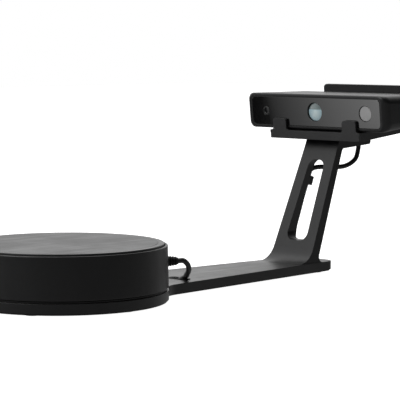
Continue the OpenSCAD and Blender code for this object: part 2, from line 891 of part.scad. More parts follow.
module control_board() color(board_green) {
    board_frame()
        translate([0, 0, board_rise])
            union() {
                translate([-board[0] / 2, -board[1] / 2, 0])
                    cube(board);
                translate([-8, -7, board[2] / 2])
                    cube([14, 14, 2.2]);
                for (i = [-1:1])
                    translate([board[0] / 2 - 8, i * 12 - 4, board[2] / 2])
                        cube([6, 8, 8]);
                translate([-19, 10, 0])
                    cylinder(r = 4, h = 11, $fn = 24);
            }
}

module home_sensor() color(board_green) {
    around(magnet_ring_r, [post_turns[0]])
        translate([-4, -4, frame_z + frame_t])
            cube([8, 8, gear_z - frame_z - frame_t - 1]);
}

// ---- Cradle ---------------------------------------------------------------------------------------

function platform_screw_spots() = [for (u = [24, 56], s = [-1, 1]) [u, s * (column_top_hw - 9)]];
function fixing_screw_spots() = [for (s = [-1, 1]) [s * 45, fixing_w]];
cradle_l = cradle_rear - cradle_front;
hook_y = cradle_hw - hook_end - hook_w / 2;

module cradle() color(black_paint) {
    tilted() difference() {
        union() {
            translate([(cradle_front + cradle_rear) / 2, 0, floor_z - cradle_h])
                rounded_plate(cradle_l, cradle_w, 2.5, cradle_h);
            for (s = [-1, 1])
                translate([cradle_front, s * hook_y, 0])
                    hook();
            along_x(cradle_rear - cradle_t, cradle_t)
                polygon(rounded(box_points(-cradle_hw, floor_under, cradle_hw, floor_z + rear_h),
                    [0, 0, 5, 5], 6));
        }
        translate([(cradle_front + cradle_rear) / 2, 0, floor_z - cradle_h - eps])
            rounded_plate(cradle_l - 2 * cradle_t, cradle_w - 2 * cradle_t, 1.5,
                cradle_h - cradle_t + eps);
        for (p = platform_screw_spots())
            translate([p[0], p[1], floor_z])
                flat_screw_space(m4_r, cradle_t + eps, m4_head_r);
        for (p = fixing_screw_spots())
            translate([cradle_rear - cradle_t - eps, p[0], p[1]])
                rotate([0, 90, 0])
                    cylinder(r = m4_r + seat_gap, h = cradle_t + 2 * eps, $fn = 20);
        translate([cable_u, cable_v, floor_under - eps])
            cylinder(r = cable_r + 2.2, h = cradle_t + 2 * eps, $fn = 32);
    }
}

// One hook in front of the head, with its foot blended into the front bar
module hook() {
    along_x(0, cradle_t)
        polygon(rounded(
            [
                [-hook_w / 2 - 5, floor_z], [-hook_w / 2, floor_z], [-hook_w / 2, floor_z + hook_h],
                [hook_w / 2, floor_z + hook_h], [hook_w / 2, floor_z], [hook_w / 2 + 5, floor_z],
                [hook_w / 2 + 5, floor_under], [-hook_w / 2 - 5, floor_under]
            ],
            [0, 3, 3.5, 3.5, 3, 0, 0, 0], 5
        ));
}

module cradle_screws() color(steel) {
    tilted()
        for (p = platform_screw_spots())
            translate([p[0], p[1], floor_z])
                flat_screw(m4_r - fit_gap, 12, m4_head_r);
}

strip_us = [14, 68];

module cradle_strips() color(rubber_black) {
    tilted()
        for (u = strip_us, s = [-1, 1])
            translate([u, s * cradle_hw / 1.7, floor_z])
                rounded_plate(8, 44, 2, strip_t);
}

module cradle_cable_grommet() color(rubber_black) {
    tilted()
        translate([cable_u, cable_v, 0])
            rotate_extrude($fn = 32)
                polygon([
                    [cable_r + fit_gap, floor_under - 1.6], [cable_r + 4, floor_under - 1.6],
                    [cable_r + 4, floor_under], [cable_r + 2.2 - seat_gap, floor_under],
                    [cable_r + 2.2 - seat_gap, floor_z], [cable_r + fit_gap, floor_z]
                ]);
}

// ---- Head -----------------------------------------------------------------------------------------

// Solid of the head, drawn in by the inset on every side
module head_block(inset = 0) {
    corner_r = max(head_corner_r - inset, 0.5);
    edge_r = max(head_edge_r - inset, 0);
    face_r = max(head_face_r - inset, 0.5);
    intersection() {
        upright(head_w + 2 * eps)
            polygon(rounded(
                [[inset, inset], [head_d - inset, inset],
                    [head_d - inset, head_top(head_d - inset) - inset], [inset, head_top(inset) - inset]],
                [edge_r, edge_r, edge_r, edge_r], 4
            ));
        translate([head_d / 2, 0, -eps])
            rounded_plate(head_d - 2 * inset, head_w - 2 * inset, corner_r, head_h + 2 * eps);
        along_x(-eps, head_d + 2 * eps)
            polygon(rounded(box_points(-head_hw + inset, inset, head_hw - inset, head_h + eps),
                [face_r, face_r, 0, 0], 6));
        translate([0, 0, head_h])
            rotate([0, tilt, 0])
                along_x(-3 * eps, head_d + 6 * eps)
                    polygon(rounded(box_points(-head_hw + inset, -head_h - 9 * eps,
                        head_hw - inset, -inset), [0, 0, face_r, face_r], 6));
    }
}

module head_slab(u0, u1) {
    translate([u0, -head_hw - eps, -eps])
        cube([u1 - u0, head_w + 2 * eps, head_h + 3 * eps]);
}

front_wall = window_t + 2;
cover_boss_w = head_wall + 3.5;
function head_cover_spots() = [for (y = [41 - head_hw, -22, 22, head_hw - 41]) [y, cover_boss_w]];
function bench_spots() = [for (y = [-1, 1], w = [-1, 1]) [y * bench_hole_y, lens_w + w * 7]];
bench_hole_y = head_hw - head_wall - 4.5;
bench_u = front_wall + 4.5;
bench_t = 2.5;

module window_outline(grow, u0, l) {
    translate([0, 0, lens_w])
        along_x(u0, l)
            polygon(rounded(box_points(-window_w / 2 - grow, -window_h / 2 - grow,
                window_w / 2 + grow, window_h / 2 + grow),
                [for (i = [0:3]) max(window_r + grow, 0.5)], 6));
}

module head_housing() color(black_plastic) {
    tilted() difference() {
        union() {
            difference() {
                intersection() {
                    head_block();
                    head_slab(-eps, seam_u);
                }
                intersection() {
                    head_block(head_wall);
                    head_slab(front_wall, head_d + eps);
                }
            }
            for (p = head_cover_spots())
                translate([seam_u - 15, p[0], p[1]])
                    rotate([0, 90, 0])
                        cylinder(r = 3.6, h = 15, $fn = 24);
            for (p = bench_spots())
                translate([front_wall - 0.5, p[0], p[1]])
                    rotate([0, 90, 0])
                        cylinder(r = 3.4, h = bench_u - front_wall + 0.5, $fn = 24);
        }
        window_outline(seat_gap, -eps, window_t + eps);
        window_outline(-3, -eps, front_wall + 2 * eps);
        for (p = head_cover_spots())
            translate([seam_u - 9, p[0], p[1]])
                rotate([0, 90, 0])
                    cylinder(r = m3_r, h = 9 + eps, $fn = 20);
        translate([cable_u, cable_v, -eps])
            cylinder(r = cable_r + 2.8, h = head_wall + 2 * eps, $fn = 32);
    }
}

module head_rear_cover() color(black_plastic) {
    tilted() difference() {
        intersection() {
            head_block();
            head_slab(seam_u + seat_gap, head_d + eps);
        }
        intersection() {
            head_block(head_wall);
            head_slab(seam_u - eps, head_d + eps);
        }
        for (p = head_cover_spots())
            translate([seam_u - eps, p[0], p[1]])
                rotate([0, 90, 0]) {
                    cylinder(r = m3_r + seat_gap, h = head_d, $fn = 20);
                    translate([0, 0, rear_cover_d + eps - head_wall / 2])
                        cylinder(r = m3_head_r + seat_gap, h = head_wall, $fn = 28);
                }
        for (p = fixing_screw_spots())
            translate([seam_u - eps, p[0], p[1]])
                rotate([0, 90, 0])
                    cylinder(r = m4_r, h = 2 * rear_cover_d, $fn = 20);
        for (i = [-3:3])
            translate([head_d - head_wall - eps, fan_y + i * 3 - 0.75, fan_w - fan_side / 2 + 4])
                cube([head_wall + 2 * eps, 1.5, fan_side - 8]);
        port_space(usb_spot, usb_size);
        port_space(jack_spot, jack_size);
        translate([seam_u, button_spot[0], button_spot[1]])
            rotate([0, 90, 0])
                cylinder(r = button_r + 0.25, h = 2 * rear_cover_d, $fn = 36);
        translate([seam_u, light_spot[0], light_spot[1]])
            rotate([0, 90, 0])
                cylinder(r = light_r + seat_gap, h = 2 * rear_cover_d, $fn = 24);
    }
}

module port_space(p, size) {
    translate([seam_u, p[0] - size[0] / 2 - seat_gap, p[1] - size[1] / 2 - seat_gap])
        cube([2 * rear_cover_d, size[0] + 2 * seat_gap, size[1] + 2 * seat_gap]);
}

module head_cover_screws() color(steel) {
    tilted()
        for (p = head_cover_spots())
            translate([head_d - head_wall / 2, p[0], p[1]])
                rotate([0, 90, 0])
                    screw(m3_r - fit_gap, rear_cover_d + 6, m3_head_r, 1.2, 1.2);
}

module head_fixing_screws() color(steel) {
    tilted()
        for (p = fixing_screw_spots())
            translate([cradle_rear, p[0], p[1]])
                rotate([0, 90, 0])
                    screw(m4_r - fit_gap, cradle_t + 7, m4_head_r, fixing_head_t, 1.6);
}

module front_window() color("#0b0b0d") {
    tilted() difference() {
        window_outline(0, 0, window_t);
        lens_hole(0, projector_r);
        lens_hole(camera_y, camera_r);
        lens_hole(-camera_y, camera_r);
    }
}

module lens_hole(y, r) {
    translate([-eps, y, lens_w])
        rotate([0, 90, 0])
            cylinder(r = r, h = window_t + 2 * eps, $fn = 48);
}

// A round piece about a lens's axis, drawn as a half section in [radius, depth behind the front]
module turned_at(y) {
    translate([0, y, lens_w])
        rotate([0, 90, 0])
            rotate_extrude($fn = 48)
                children();
}

lens_t = 5;

module projector_lens() color("#b8cdd8") {
    tilted()
        turned_at(0)
            polygon(concat(
                [[0, 0.3]],
                arc([0, 24.4], 24.1, -90, -64, 6),
                [[projector_r - 0.15, 3.4], [projector_r - 0.15, lens_t], [0, lens_t]]
            ));
}

projector_size = [44, 50, 20];
projector_u = bench_u + bench_t + 6;

module projector_unit() color(dark_grey) {
    tilted() {
        turned_at(0)
            polygon(box_points(0, lens_t + fit_gap, projector_r - 0.5, projector_u));
        turned_at(0)
            polygon(box_points(0, bench_u + bench_t, 15, projector_u));
        translate([projector_u - fit_gap, -projector_size[1] / 2, lens_w - projector_size[2] / 2])
            cube(projector_size);
    }
}

module camera_unit(y) {
    tilted() {
        turned_at(y)
            polygon([
                [0, 0.4], [camera_r - 1.6, 0.4], [camera_r - 1.6, 1.1], [camera_r - 0.15, 1.1],
                [camera_r - 0.15, bench_u + bench_t + 1], [0, bench_u + bench_t + 1]
            ]);
        translate([bench_u + bench_t, y - 12, lens_w - 12])
            cube([16, 24, 24]);
    }
}

module left_camera() color("#19191b") camera_unit(camera_y);
module right_camera() color("#6f6f70") camera_unit(-camera_y);

module optics_bench() color(steel) {
    tilted() difference() {
        translate([bench_u, -bench_hole_y - 3.6, lens_w - window_h / 2 + 5])
            cube([bench_t, 2 * bench_hole_y + 7.2, window_h - 10]);
        for (p = [[0, projector_r], [camera_y, camera_r], [-camera_y, camera_r]])
            translate([bench_u - eps, p[0], lens_w])
                rotate([0, 90, 0])
                    cylinder(r = p[1] + soft_gap, h = bench_t + 2 * eps, $fn = 48);
        for (p = bench_spots())
            translate([bench_u - eps, p[0], p[1]])
                rotate([0, 90, 0])
                    cylinder(r = m3_r + seat_gap, h = bench_t + 2 * eps, $fn = 20);
    }
}

module bench_screws() color(steel) {
    tilted()
        for (p = bench_spots())
            translate([bench_u + bench_t, p[0], p[1]])
                rotate([0, 90, 0])
                    screw(m3_r - fit_gap, bench_t, m3_head_r, 1.8, 1.2);
}

main_board_size = [38, 170, 1.6];
main_board_u = projector_u + 1;

module main_board() color(board_green) {
    tilted()
        union() {
            translate([main_board_u, -main_board_size[1] / 2, head_wall + 2])
                cube(main_board_size);
            for (s = [-1, 1])
                translate([main_board_u + 14, s * 55 - 8, head_wall + 2.5])
                    cube([16, 16, 4]);
            for (x = [4, main_board_size[0] - 4], y = [-80, -34, 34, 80])
                translate([main_board_u + x, y, head_wall])
                    cylinder(r = 2.5, h = 2.5, $fn = 24);
        }
}

module heat_sink() color(steel) {
    tilted()
        translate([projector_u + projector_size[0], 0, 0])
            union() {
                translate([0, -projector_size[1] / 2, lens_w - projector_size[2] / 2])
                    cube([2, projector_size[1], projector_size[2] - 3]);
                for (i = [0:8])
                    translate([1, -projector_size[1] / 2 + i * (projector_size[1] - 1.2) / 8,
                        lens_w - projector_size[2] / 2])
                        cube([8, 1.2, projector_size[2] - 3]);
            }
}

fan_y = head_hw - 21;
fan_w = head_wall + fan_side / 2 + 0.2;
fan_u = head_d - head_wall - fan_d - seat_gap;
fan_bore = fan_side / 2 - 1.2;

module fan_frame() color(rubber_black) {
    tilted()
        translate([fan_u, fan_y, fan_w])
            rotate([0, 90, 0])
                union() {
                    difference() {
                        linear_extrude(fan_d)
                            square(fan_side, center = true);
                        translate([0, 0, -eps])
                            cylinder(r = fan_bore, h = fan_d + 2 * eps, $fn = 48);
                    }
                    for (a = [0, 90])
                        rotate([0, 0, a])
                            translate([-fan_bore - 0.4, -1, 0])
                                cube([2 * fan_bore + 0.8, 2, 1]);
                    cylinder(r = 4.6, h = 1, $fn = 32);
                    cylinder(r = 1, h = fan_d - 1.5, $fn = 24);
                }
}

module fan_rotor() color("#303032") {
    tilted()
        translate([fan_u, fan_y, fan_w])
            rotate([0, 90, 0])
                difference() {
                    union() {
                        translate([0, 0, 1.5])
                            cylinder(r = 4.6, h = fan_d - 2, $fn = 32);
                        intersection() {
                            translate([0, 0, 1.5])
                                cylinder(r = fan_bore - 0.6, h = fan_d - 2, $fn = 48);
                            for (i = [0:blades - 1])
                                rotate([0, 0, i * 360 / blades])
                                    translate([4, 0, 1.5 + (fan_d - 2) / 2])
                                        rotate([40, 0, 0])
                                            translate([0, -0.4, -fan_d])
                                                cube([fan_bore, 0.8, 2 * fan_d]);
                        }
                    }
                    translate([0, 0, -eps])
                        cylinder(r = 1 + fit_gap, h = fan_d + 2 * eps, $fn = 24);
                }
}

usb_spot = [28 - head_hw, 10];
usb_size = [12, 11];
jack_spot = [14.5 - head_hw, 9.5];
jack_size = [9, 10];
button_spot = [28 - head_hw, 22];
light_spot = [16 - head_hw, 22];
light_r = 1.5;

module usb_port() color(steel) {
    tilted()
        translate([head_d - 10, usb_spot[0], usb_spot[1]])
            difference() {
                translate([0, -usb_size[0] / 2, -usb_size[1] / 2])
                    cube([10, usb_size[0], usb_size[1]]);
                difference() {
                    translate([2, -usb_size[0] / 2 + 1.6, -usb_size[1] / 2 + 1.6])
                        cube([10, usb_size[0] - 3.2, usb_size[1] - 3.2]);
                    translate([1, -2.8, -1.6])
                        cube([7.5, 5.6, 3.2]);
                }
            }
}

module power_jack() color(rubber_black) {
    tilted()
        translate([head_d - 10, jack_spot[0], jack_spot[1]])
            union() {
                difference() {
                    translate([0, -jack_size[0] / 2, -jack_size[1] / 2])
                        cube([10, jack_size[0], jack_size[1]]);
                    translate([1.5, 0, 0])
                        rotate([0, 90, 0])
                            cylinder(r = 2.9, h = 10, $fn = 32);
                }
                translate([1, 0, 0])
                    rotate([0, 90, 0])
                        cylinder(r = 1, h = 8, $fn = 20);
            }
}

button_proud = 1.6;

module power_button() color(dark_grey) {
    tilted()
        translate([head_d, button_spot[0], button_spot[1]])
            rotate([0, 90, 0])
                rotate_extrude($fn = 40)
                    polygon(rounded(
                        [
                            [0, -head_wall - 1.8], [button_r + 1, -head_wall - 1.8],
                            [button_r + 1, -head_wall - seat_gap], [button_r, -head_wall - seat_gap],
                            [button_r, button_proud], [0, button_proud]
                        ],
                        [0, 0, 0, 0, 0.6, 0], 3
                    ));
}

module status_light() color("#7fa8ff") {
    tilted()
        translate([head_d - head_wall - 1, light_spot[0], light_spot[1]])
            rotate([0, 90, 0])
                cylinder(r = light_r, h = head_wall + 1.2, $fn = 24);
}

// ---- Cable ----------------------------------------------------------------------------------------

module rim_grommet(w, l, grow) {
    translate([inlet[0], inlet[1], cast_top])
        difference() {
            union() {
                translate([0, 0, -2])
                    rotate([0, 0, 90])
                        rounded_plate(w - 2 * seat_gap, l - 2 * seat_gap, l / 2 - seat_gap, 2.2);
                rotate([0, 0, 90])
                    rounded_plate(w + 2 * grow, l + 2 * grow, l / 2 + grow, 0.8);
            }
            translate([0, 0, -3])
                rotate([0, 0, 90])
                    rounded_plate(w - 2.4, l - 2.4, l / 2 - 1.2, 6);
        }
}

module arm_cable_grommet() color(rubber_black) {
    rim_grommet(inlet_w, inlet_l, 1);
}

module foot_cable_grommet() color(rubber_black) {
    translate([outlet_x, clip_y, cast_top])
        rotate_extrude($fn = 32)
            polygon([
                [cable_r + fit_gap, -2], [cable_r + 1.6 - seat_gap, -2], [cable_r + 1.6 - seat_gap, 0],
                [cable_r + 2.4, 0], [cable_r + 2.4, 1], [cable_r + fit_gap, 1]
            ]);
}

plug_h = 9;

module head_cable_plug() color(rubber_black) {
    tilted()
        translate([cable_u, cable_v, 0.2])
            rotate_extrude($fn = 32)
                polygon([
                    [0, 0.6], [cable_r + 2.4, 0.6], [cable_r + 2.4, head_wall], [cable_r + 3.6, head_wall],
                    [cable_r + 3.6, plug_h], [0, plug_h]
                ]);
}

// Points of the cable's middle line, from the drum's sleeve to the head
cable_end = [head_x + cable_u * cos(tilt), cable_v, head_z + cable_u * sin(tilt)];
run_z = 6;
cable_route = [
    outlet_point(0.5), outlet_point(sleeve_l), outlet_point(sleeve_l + 6),
    [117, -57, 33], [121, -55, 28], [125, -50, 23.5], [129, -44, 20.5], [134, -38, 18.8],
    [139, -34, 17.6], [142, -28, 14.9], [142, -22, 11.8], [142, -16, 8.8], [142.5, -10.5, 6.6],
    [148, -6, run_z], channel_point(160), channel_point(180), channel_point(205), channel_point(230),
    channel_point(255), channel_point(280), channel_point(305), channel_point(330),
    channel_point(350), [outlet_x - 5, clip_y, 5.95], [outlet_x - 2.4, clip_y, 6.4],
    [outlet_x - 0.3, clip_y, 8.2], [outlet_x, clip_y, 11.4], [outlet_x, clip_y, 17],
    [outlet_x - 0.4, clip_y, 24], [outlet_x + 0.2, clip_y, 34],
    leg_point(48), leg_point(62), leg_point(76), leg_point(90), leg_point(clip_z - 6),
    leg_point(clip_z + 6), [391.8, clip_y - 1, 112.6], [398, clip_y - 4, 114.6],
    [408, clip_y - 8, 114.6], [420, 8, 114], [432, 5, 114.5], [442, 3.5, 117.5],
    [449.5, cable_v, 123], [cable_end[0] - 1.4, cable_v, 131], [cable_end[0] + 0.4, cable_v, 141],
    cable_end + 10 * [sin(tilt), 0, -cos(tilt)], cable_end + 0.7 * [-sin(tilt), 0, cos(tilt)]
];

function channel_point(x) = [x, channel_y(x), run_z];
function outlet_point(d) = [(rim_r + d) * cos(outlet_turn), (rim_r + d) * sin(outlet_turn),
    cast_top + outlet_rise];
function leg_point(z) = [rear_x(z) + (cable_r + soft_gap) / cos(rear_lean), clip_y, z];

cable_sides = 10;
function cross3(a, b) = [a[1] * b[2] - a[2] * b[1], a[2] * b[0] - a[0] * b[2], a[0] * b[1] - a[1] * b[0]];
function heading(p, i) = unit(p[min(i + 1, len(p) - 1)] - p[max(i - 1, 0)]);

// Side directions of a tube, each carried on from the ring before
function carried(p, i, side) =
    let (t = heading(p, i), s = unit(side - (side * t) * t))
    i == len(p) - 1 ? [s] : concat([s], carried(p, i + 1, s));

module tube(p, r, sides) {
    side = carried(p, 0, [0, 0, 1]);
    rings = [for (i = [0:len(p) - 1])
        let (t = heading(p, i), s = side[i], w = cross3(t, s))
        for (k = [0:sides - 1]) p[i] + r * (cos(k * 360 / sides) * s + sin(k * 360 / sides) * w)];
    n = len(p);
    polyhedron(
        points = rings,
        faces = concat(
            [[for (k = [0:sides - 1]) k]],
            [for (i = [0:n - 2], k = [0:sides - 1]) each [
                [i * sides + k, (i + 1) * sides + k, i * sides + (k + 1) % sides],
                [i * sides + (k + 1) % sides, (i + 1) * sides + k, (i + 1) * sides + (k + 1) % sides]
            ]],
            [[for (k = [sides - 1:-1:0]) (n - 1) * sides + k]]
        )
    );
}

module head_cable() color(rubber_black) {
    tube(cable_route, cable_r, cable_sides);
}

// A hooked clip that presses the cable against the back of the leg
module cable_clip() color(rubber_black) {
    bore = cable_r + soft_gap;
    wall = 2.2;
    translate([leg_point(clip_z)[0], clip_y, clip_z])
        rotate([0, rear_lean, 0])
            difference() {
                translate([fit_gap - bore, -bore - wall, -5])
                    cube([2 * bore + wall, 2 * (bore + wall), 10]);
                translate([0, 0, -6])
                    cylinder(r = bore, h = 12, $fn = 28);
                translate([-2 * bore, 0.2 - bore, -6])
                    cube([2 * bore, 2 * bore - 0.4, 12]);
            }
}

// ---- Assembly -------------------------------------------------------------------------------------

placed() {
    base_casting();
    underside_cover();
    rubber_feet();
    cover_screws();
    drum_housing();
    drum_screws();
    drive_frame();
    frame_screws();
    bearing_outer_ring();
    bearing_balls();
    bearing_inner_ring();
    bearing_spacer();
    spindle();
    spindle_washer();
    spindle_screw();
    driven_gear();
    index_magnet();
    turntable_plate();
    plate_screws();
    turntable_mat();
    stepper_motor();
    motor_screws();
    motor_shaft();
    motor_pinion();
    control_board();
    board_standoffs();
    home_sensor();
    drum_cable_sleeve();
    arm_cable_grommet();
    foot_cable_grommet();
    head_cable();
    cable_clip();
    cradle();
    cradle_screws();
    cradle_strips();
    cradle_cable_grommet();
    head_housing();
    head_rear_cover();
    head_cover_screws();
    head_fixing_screws();
    front_window();
    projector_lens();
    projector_unit();
    left_camera();
    right_camera();
    optics_bench();
    bench_screws();
    main_board();
    heat_sink();
    fan_frame();
    fan_rotor();
    usb_port();
    power_jack();
    power_button();
    status_light();
    head_cable_plug();
}
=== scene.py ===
"""Looks of a desktop 3D scanner: a turntable drum on a cast arm, and a wide head on a slotted column.

Every length is in metres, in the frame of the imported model, where x runs from the drum to the
column. Points that are written from the turntable's axis are moved by AXIS_X. In the head, u runs
from the front to the rear, v across and w up, all tilted with the head.
"""

import json
from math import atan2, cos, pi, radians, sin, sqrt, tan

import bmesh
import bpy
from mathutils import Matrix, Vector

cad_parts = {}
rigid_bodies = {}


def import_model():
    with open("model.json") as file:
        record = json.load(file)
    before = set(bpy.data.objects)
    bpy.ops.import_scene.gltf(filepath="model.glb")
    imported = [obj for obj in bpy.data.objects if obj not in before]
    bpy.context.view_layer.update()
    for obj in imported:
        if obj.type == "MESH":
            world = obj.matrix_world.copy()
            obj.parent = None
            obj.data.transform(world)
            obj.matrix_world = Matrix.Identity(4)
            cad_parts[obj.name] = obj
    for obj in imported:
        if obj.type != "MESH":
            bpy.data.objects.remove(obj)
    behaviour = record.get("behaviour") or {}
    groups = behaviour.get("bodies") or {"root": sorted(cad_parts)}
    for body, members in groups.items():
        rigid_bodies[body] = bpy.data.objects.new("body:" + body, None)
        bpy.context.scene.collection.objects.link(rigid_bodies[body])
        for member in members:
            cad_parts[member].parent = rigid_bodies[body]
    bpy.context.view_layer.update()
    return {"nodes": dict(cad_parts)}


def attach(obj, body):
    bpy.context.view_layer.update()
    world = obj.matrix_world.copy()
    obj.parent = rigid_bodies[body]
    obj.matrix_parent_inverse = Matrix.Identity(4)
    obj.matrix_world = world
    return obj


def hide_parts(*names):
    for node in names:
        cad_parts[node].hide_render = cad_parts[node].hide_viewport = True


for thing in list(bpy.data.objects):
    bpy.data.objects.remove(thing)
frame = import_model()
nodes = frame["nodes"]

# ---- Sizes that the scene shares with the solids --------------------------------------------------

AXIS_X = -0.1855933
CAST_TOP = 0.0125
RIM_R = 0.104
HEAD_TILT = radians(6)
HEAD_TURN = Matrix.Rotation(-HEAD_TILT, 3, "Y")
HEAD_SPOT = Vector((0.377 + AXIS_X, 0, 0.1585))
HEAD_H = 0.0405
WINDOW_T = 0.003
WINDOW_H = 0.033
PROJECTOR_R = 0.0107
CAMERA_R = 0.0088
CAMERA_Y = 0.0743
CABLE_R = 0.0027


def from_axis(x, y, z):
    """A point given from the turntable's axis and the table."""
    return Vector((x + AXIS_X, y, z))


def in_head(u, v, w):
    """A point given along the head's depth, width and height."""
    return HEAD_SPOT + HEAD_TURN @ Vector((u, v, w))


def linked(name, data):
    """A new object with its data, linked to the scene."""
    thing = bpy.data.objects.new(name, data)
    bpy.context.scene.collection.objects.link(thing)
    return thing


# ---- Node helpers ---------------------------------------------------------------------------------


def feed(tree, target, source):
    """Feeds an input from an output, or sets it to a plain value."""
    if isinstance(source, bpy.types.NodeSocket):
        tree.links.new(source, target)
    elif source is not None:
        target.default_value = source


def node_in(tree, kind, values=(), **settings):
    """A node with its settings, and the sources or values of its inputs by socket name or number."""
    node = tree.nodes.new(kind)
    for key, value in settings.items():
        setattr(node, key, value)
    for key, source in dict(values).items():
        feed(tree, node.inputs[key], source)
    return node


def add(tree, kind, values=(), **settings):
    """A shader node, made as node_in does it."""
    return node_in(tree, "ShaderNode" + kind, values, **settings)


def maths(tree, operation, a, b=None, c=None, clamp=False):
    """The result of an operation on up to three values."""
    return add(tree, "Math", {0: a, 1: b, 2: c}, operation=operation, use_clamp=clamp).outputs[0]


def weighed(tree, a, part, b, rest):
    """The sum of two values, each times its weight."""
    return maths(tree, "MULTIPLY_ADD", a, part, maths(tree, "MULTIPLY", b, rest))


def dot(tree, a, b):
    return add(tree, "VectorMath", {0: a, 1: b}, operation="DOT_PRODUCT").outputs["Value"]


def mixed(tree, factor, a, b):
    """Colour a where the factor is 0, and colour b where it is 1."""
    return add(tree, "Mix", {0: factor, 6: a, 7: b}, data_type="RGBA").outputs[2]


def spread(tree, value, low, high, to_low=0.0, to_high=1.0):
    """A value's place between two limits, with soft ends."""
    limits = {0: value, 1: low, 2: high, 3: to_low, 4: to_high}
    return add(tree, "MapRange", limits, interpolation_type="SMOOTHSTEP").outputs[0]


def noise(tree, place, scale, detail=2.0, roughness=0.5):
    values = {"Vector": place, "Scale": scale, "Detail": detail, "Roughness": roughness}
    return add(tree, "TexNoise", values).outputs[0]


def object_place(tree):
    return add(tree, "TexCoord").outputs["Object"]


def upward(tree, vector):
    return add(tree, "SeparateXYZ", {0: vector}).outputs["Z"]


def grey(level):
    return (level, level, level, 1)


def toned(colour, factor=1.0, lift=0.0):
    """An opaque colour from red, green and blue parts, each times a factor, plus a lift."""
    return tuple(min(1, lift + factor * part) for part in colour) + (1,)


def new_group(name, inputs, outputs):
    """An empty shader group with named value inputs, and named outputs by their kinds."""
    tree = bpy.data.node_groups.new(name, "ShaderNodeTree")
    for label, value in inputs.items():
        socket = tree.interface.new_socket(label, in_out="INPUT", socket_type="NodeSocketFloat")
        socket.default_value = value
    for label, kind in outputs.items():
        tree.interface.new_socket(label, in_out="OUTPUT", socket_type="NodeSocket" + kind)
    return tree, tree.nodes.new("NodeGroupInput").outputs, tree.nodes.new("NodeGroupOutput").inputs


def placed_group(tree, group, **values):
    node = tree.nodes.new("ShaderNodeGroup")
    node.node_tree = group
    for key, value in values.items():
        node.inputs[key].default_value = value
    return node.outputs


# ---- Effects that many finishes share -------------------------------------------------------------

# A grain's scale and depth, an edge's radius and rubbing, the dust, and the scales of their noises
PLAIN_GRAIN = (1500.0, 0.00002)
PLAIN_EDGE = (0.0006, 0.3)
PLAIN_DUST = 0.05
BROAD_TO_FINE = 0.06
WEAR_SCALE = 90.0
CLOUD_SCALE = 16.0
SPECK_SCALE = 700.0
WIPE_STRETCH = (9.0, 90.0, 30.0)
WIPE_TURN = (0.2, 0.3, 0.6)

# Where a mask starts and where it is full: wear's patches, an edge's turn, faces that look up, specks
# of dust, and marks
WEAR_RANGE = (0.4, 0.7)
TURN_RANGE = (0.01, 0.2)
UP_RANGE = (0.6, 1.0)
SPECK_RANGE = (0.52, 0.72)
MARK_RANGE = (0.35, 0.65)

# The share of the grain's lighter tone and how light it is, how much dust dulls a finish, and the
# factor and the lift that make a rubbed edge pale
GRAIN_TONE = 0.5
GRAIN_LIGHT = 1.5
DUST_DULL = 0.3
RUBBED = (0.75, 0.12)


def grain_group():
    """Fine texture of paint or moulded plastic: a height for the bump, and a tone for the colour."""
    inputs = {"Scale": PLAIN_GRAIN[0]}
    tree, given, made = new_group("fine_grain", inputs, {"Height": "Float", "Tone": "Float"})
    place = object_place(tree)
    fine = noise(tree, place, given["Scale"], 3.0, 0.6)
    broad = noise(tree, place, maths(tree, "MULTIPLY", given["Scale"], BROAD_TO_FINE))
    feed(tree, made["Height"], fine)
    feed(tree, made["Tone"], weighed(tree, broad, 0.6, fine, 0.4))
    return tree


def edge_group():
    """Rubbed edges: a mask along them, and the normal of an edge that is slightly rounded."""
    inputs = {"Radius": PLAIN_EDGE[0], "Amount": PLAIN_EDGE[1]}
    tree, given, made = new_group("rubbed_edges", inputs, {"Mask": "Float", "Normal": "Vector"})
    rounded = add(tree, "Bevel", {"Radius": given["Radius"]}, samples=6).outputs[0]
    flat = add(tree, "NewGeometry").outputs["Normal"]
    off = maths(tree, "SUBTRACT", 1.0, dot(tree, rounded, flat))
    patches = spread(tree, noise(tree, object_place(tree), WEAR_SCALE, 4.0, 0.7), *WEAR_RANGE)
    rubbed = maths(tree, "MULTIPLY", spread(tree, off, *TURN_RANGE), patches)
    feed(tree, made["Mask"], maths(tree, "MULTIPLY", rubbed, given["Amount"], clamp=True))
    feed(tree, made["Normal"], rounded)
    return tree


def handling_group():
    """Faint marks of hands and cloths, and dust that settles on what faces up."""
    tree, given, made = new_group("handling", {"Dust": PLAIN_DUST}, {"Marks": "Float", "Dust": "Float"})
    place = object_place(tree)
    cloudy = noise(tree, place, CLOUD_SCALE, 4.0, 0.65)
    streaks = add(tree, "Mapping", {"Vector": place, "Scale": WIPE_STRETCH, "Rotation": WIPE_TURN})
    wiped = noise(tree, streaks.outputs[0], 1.0, 3.0, 0.6)
    feed(tree, made["Marks"], weighed(tree, wiped, 0.4, cloudy, 0.6))
    level = spread(tree, upward(tree, add(tree, "NewGeometry").outputs["Normal"]), *UP_RANGE)
    specks = spread(tree, noise(tree, place, SPECK_SCALE, 2.0, 0.8), *SPECK_RANGE)
    film = weighed(tree, cloudy, 0.5, specks, 0.5)
    fallen = maths(tree, "MULTIPLY", level, film)
    feed(tree, made["Dust"], maths(tree, "MULTIPLY", fallen, given["Dust"], clamp=True))
    return tree


GRAIN = grain_group()
EDGES = edge_group()
HANDLING = handling_group()
DUST = (0.30, 0.29, 0.27, 1)


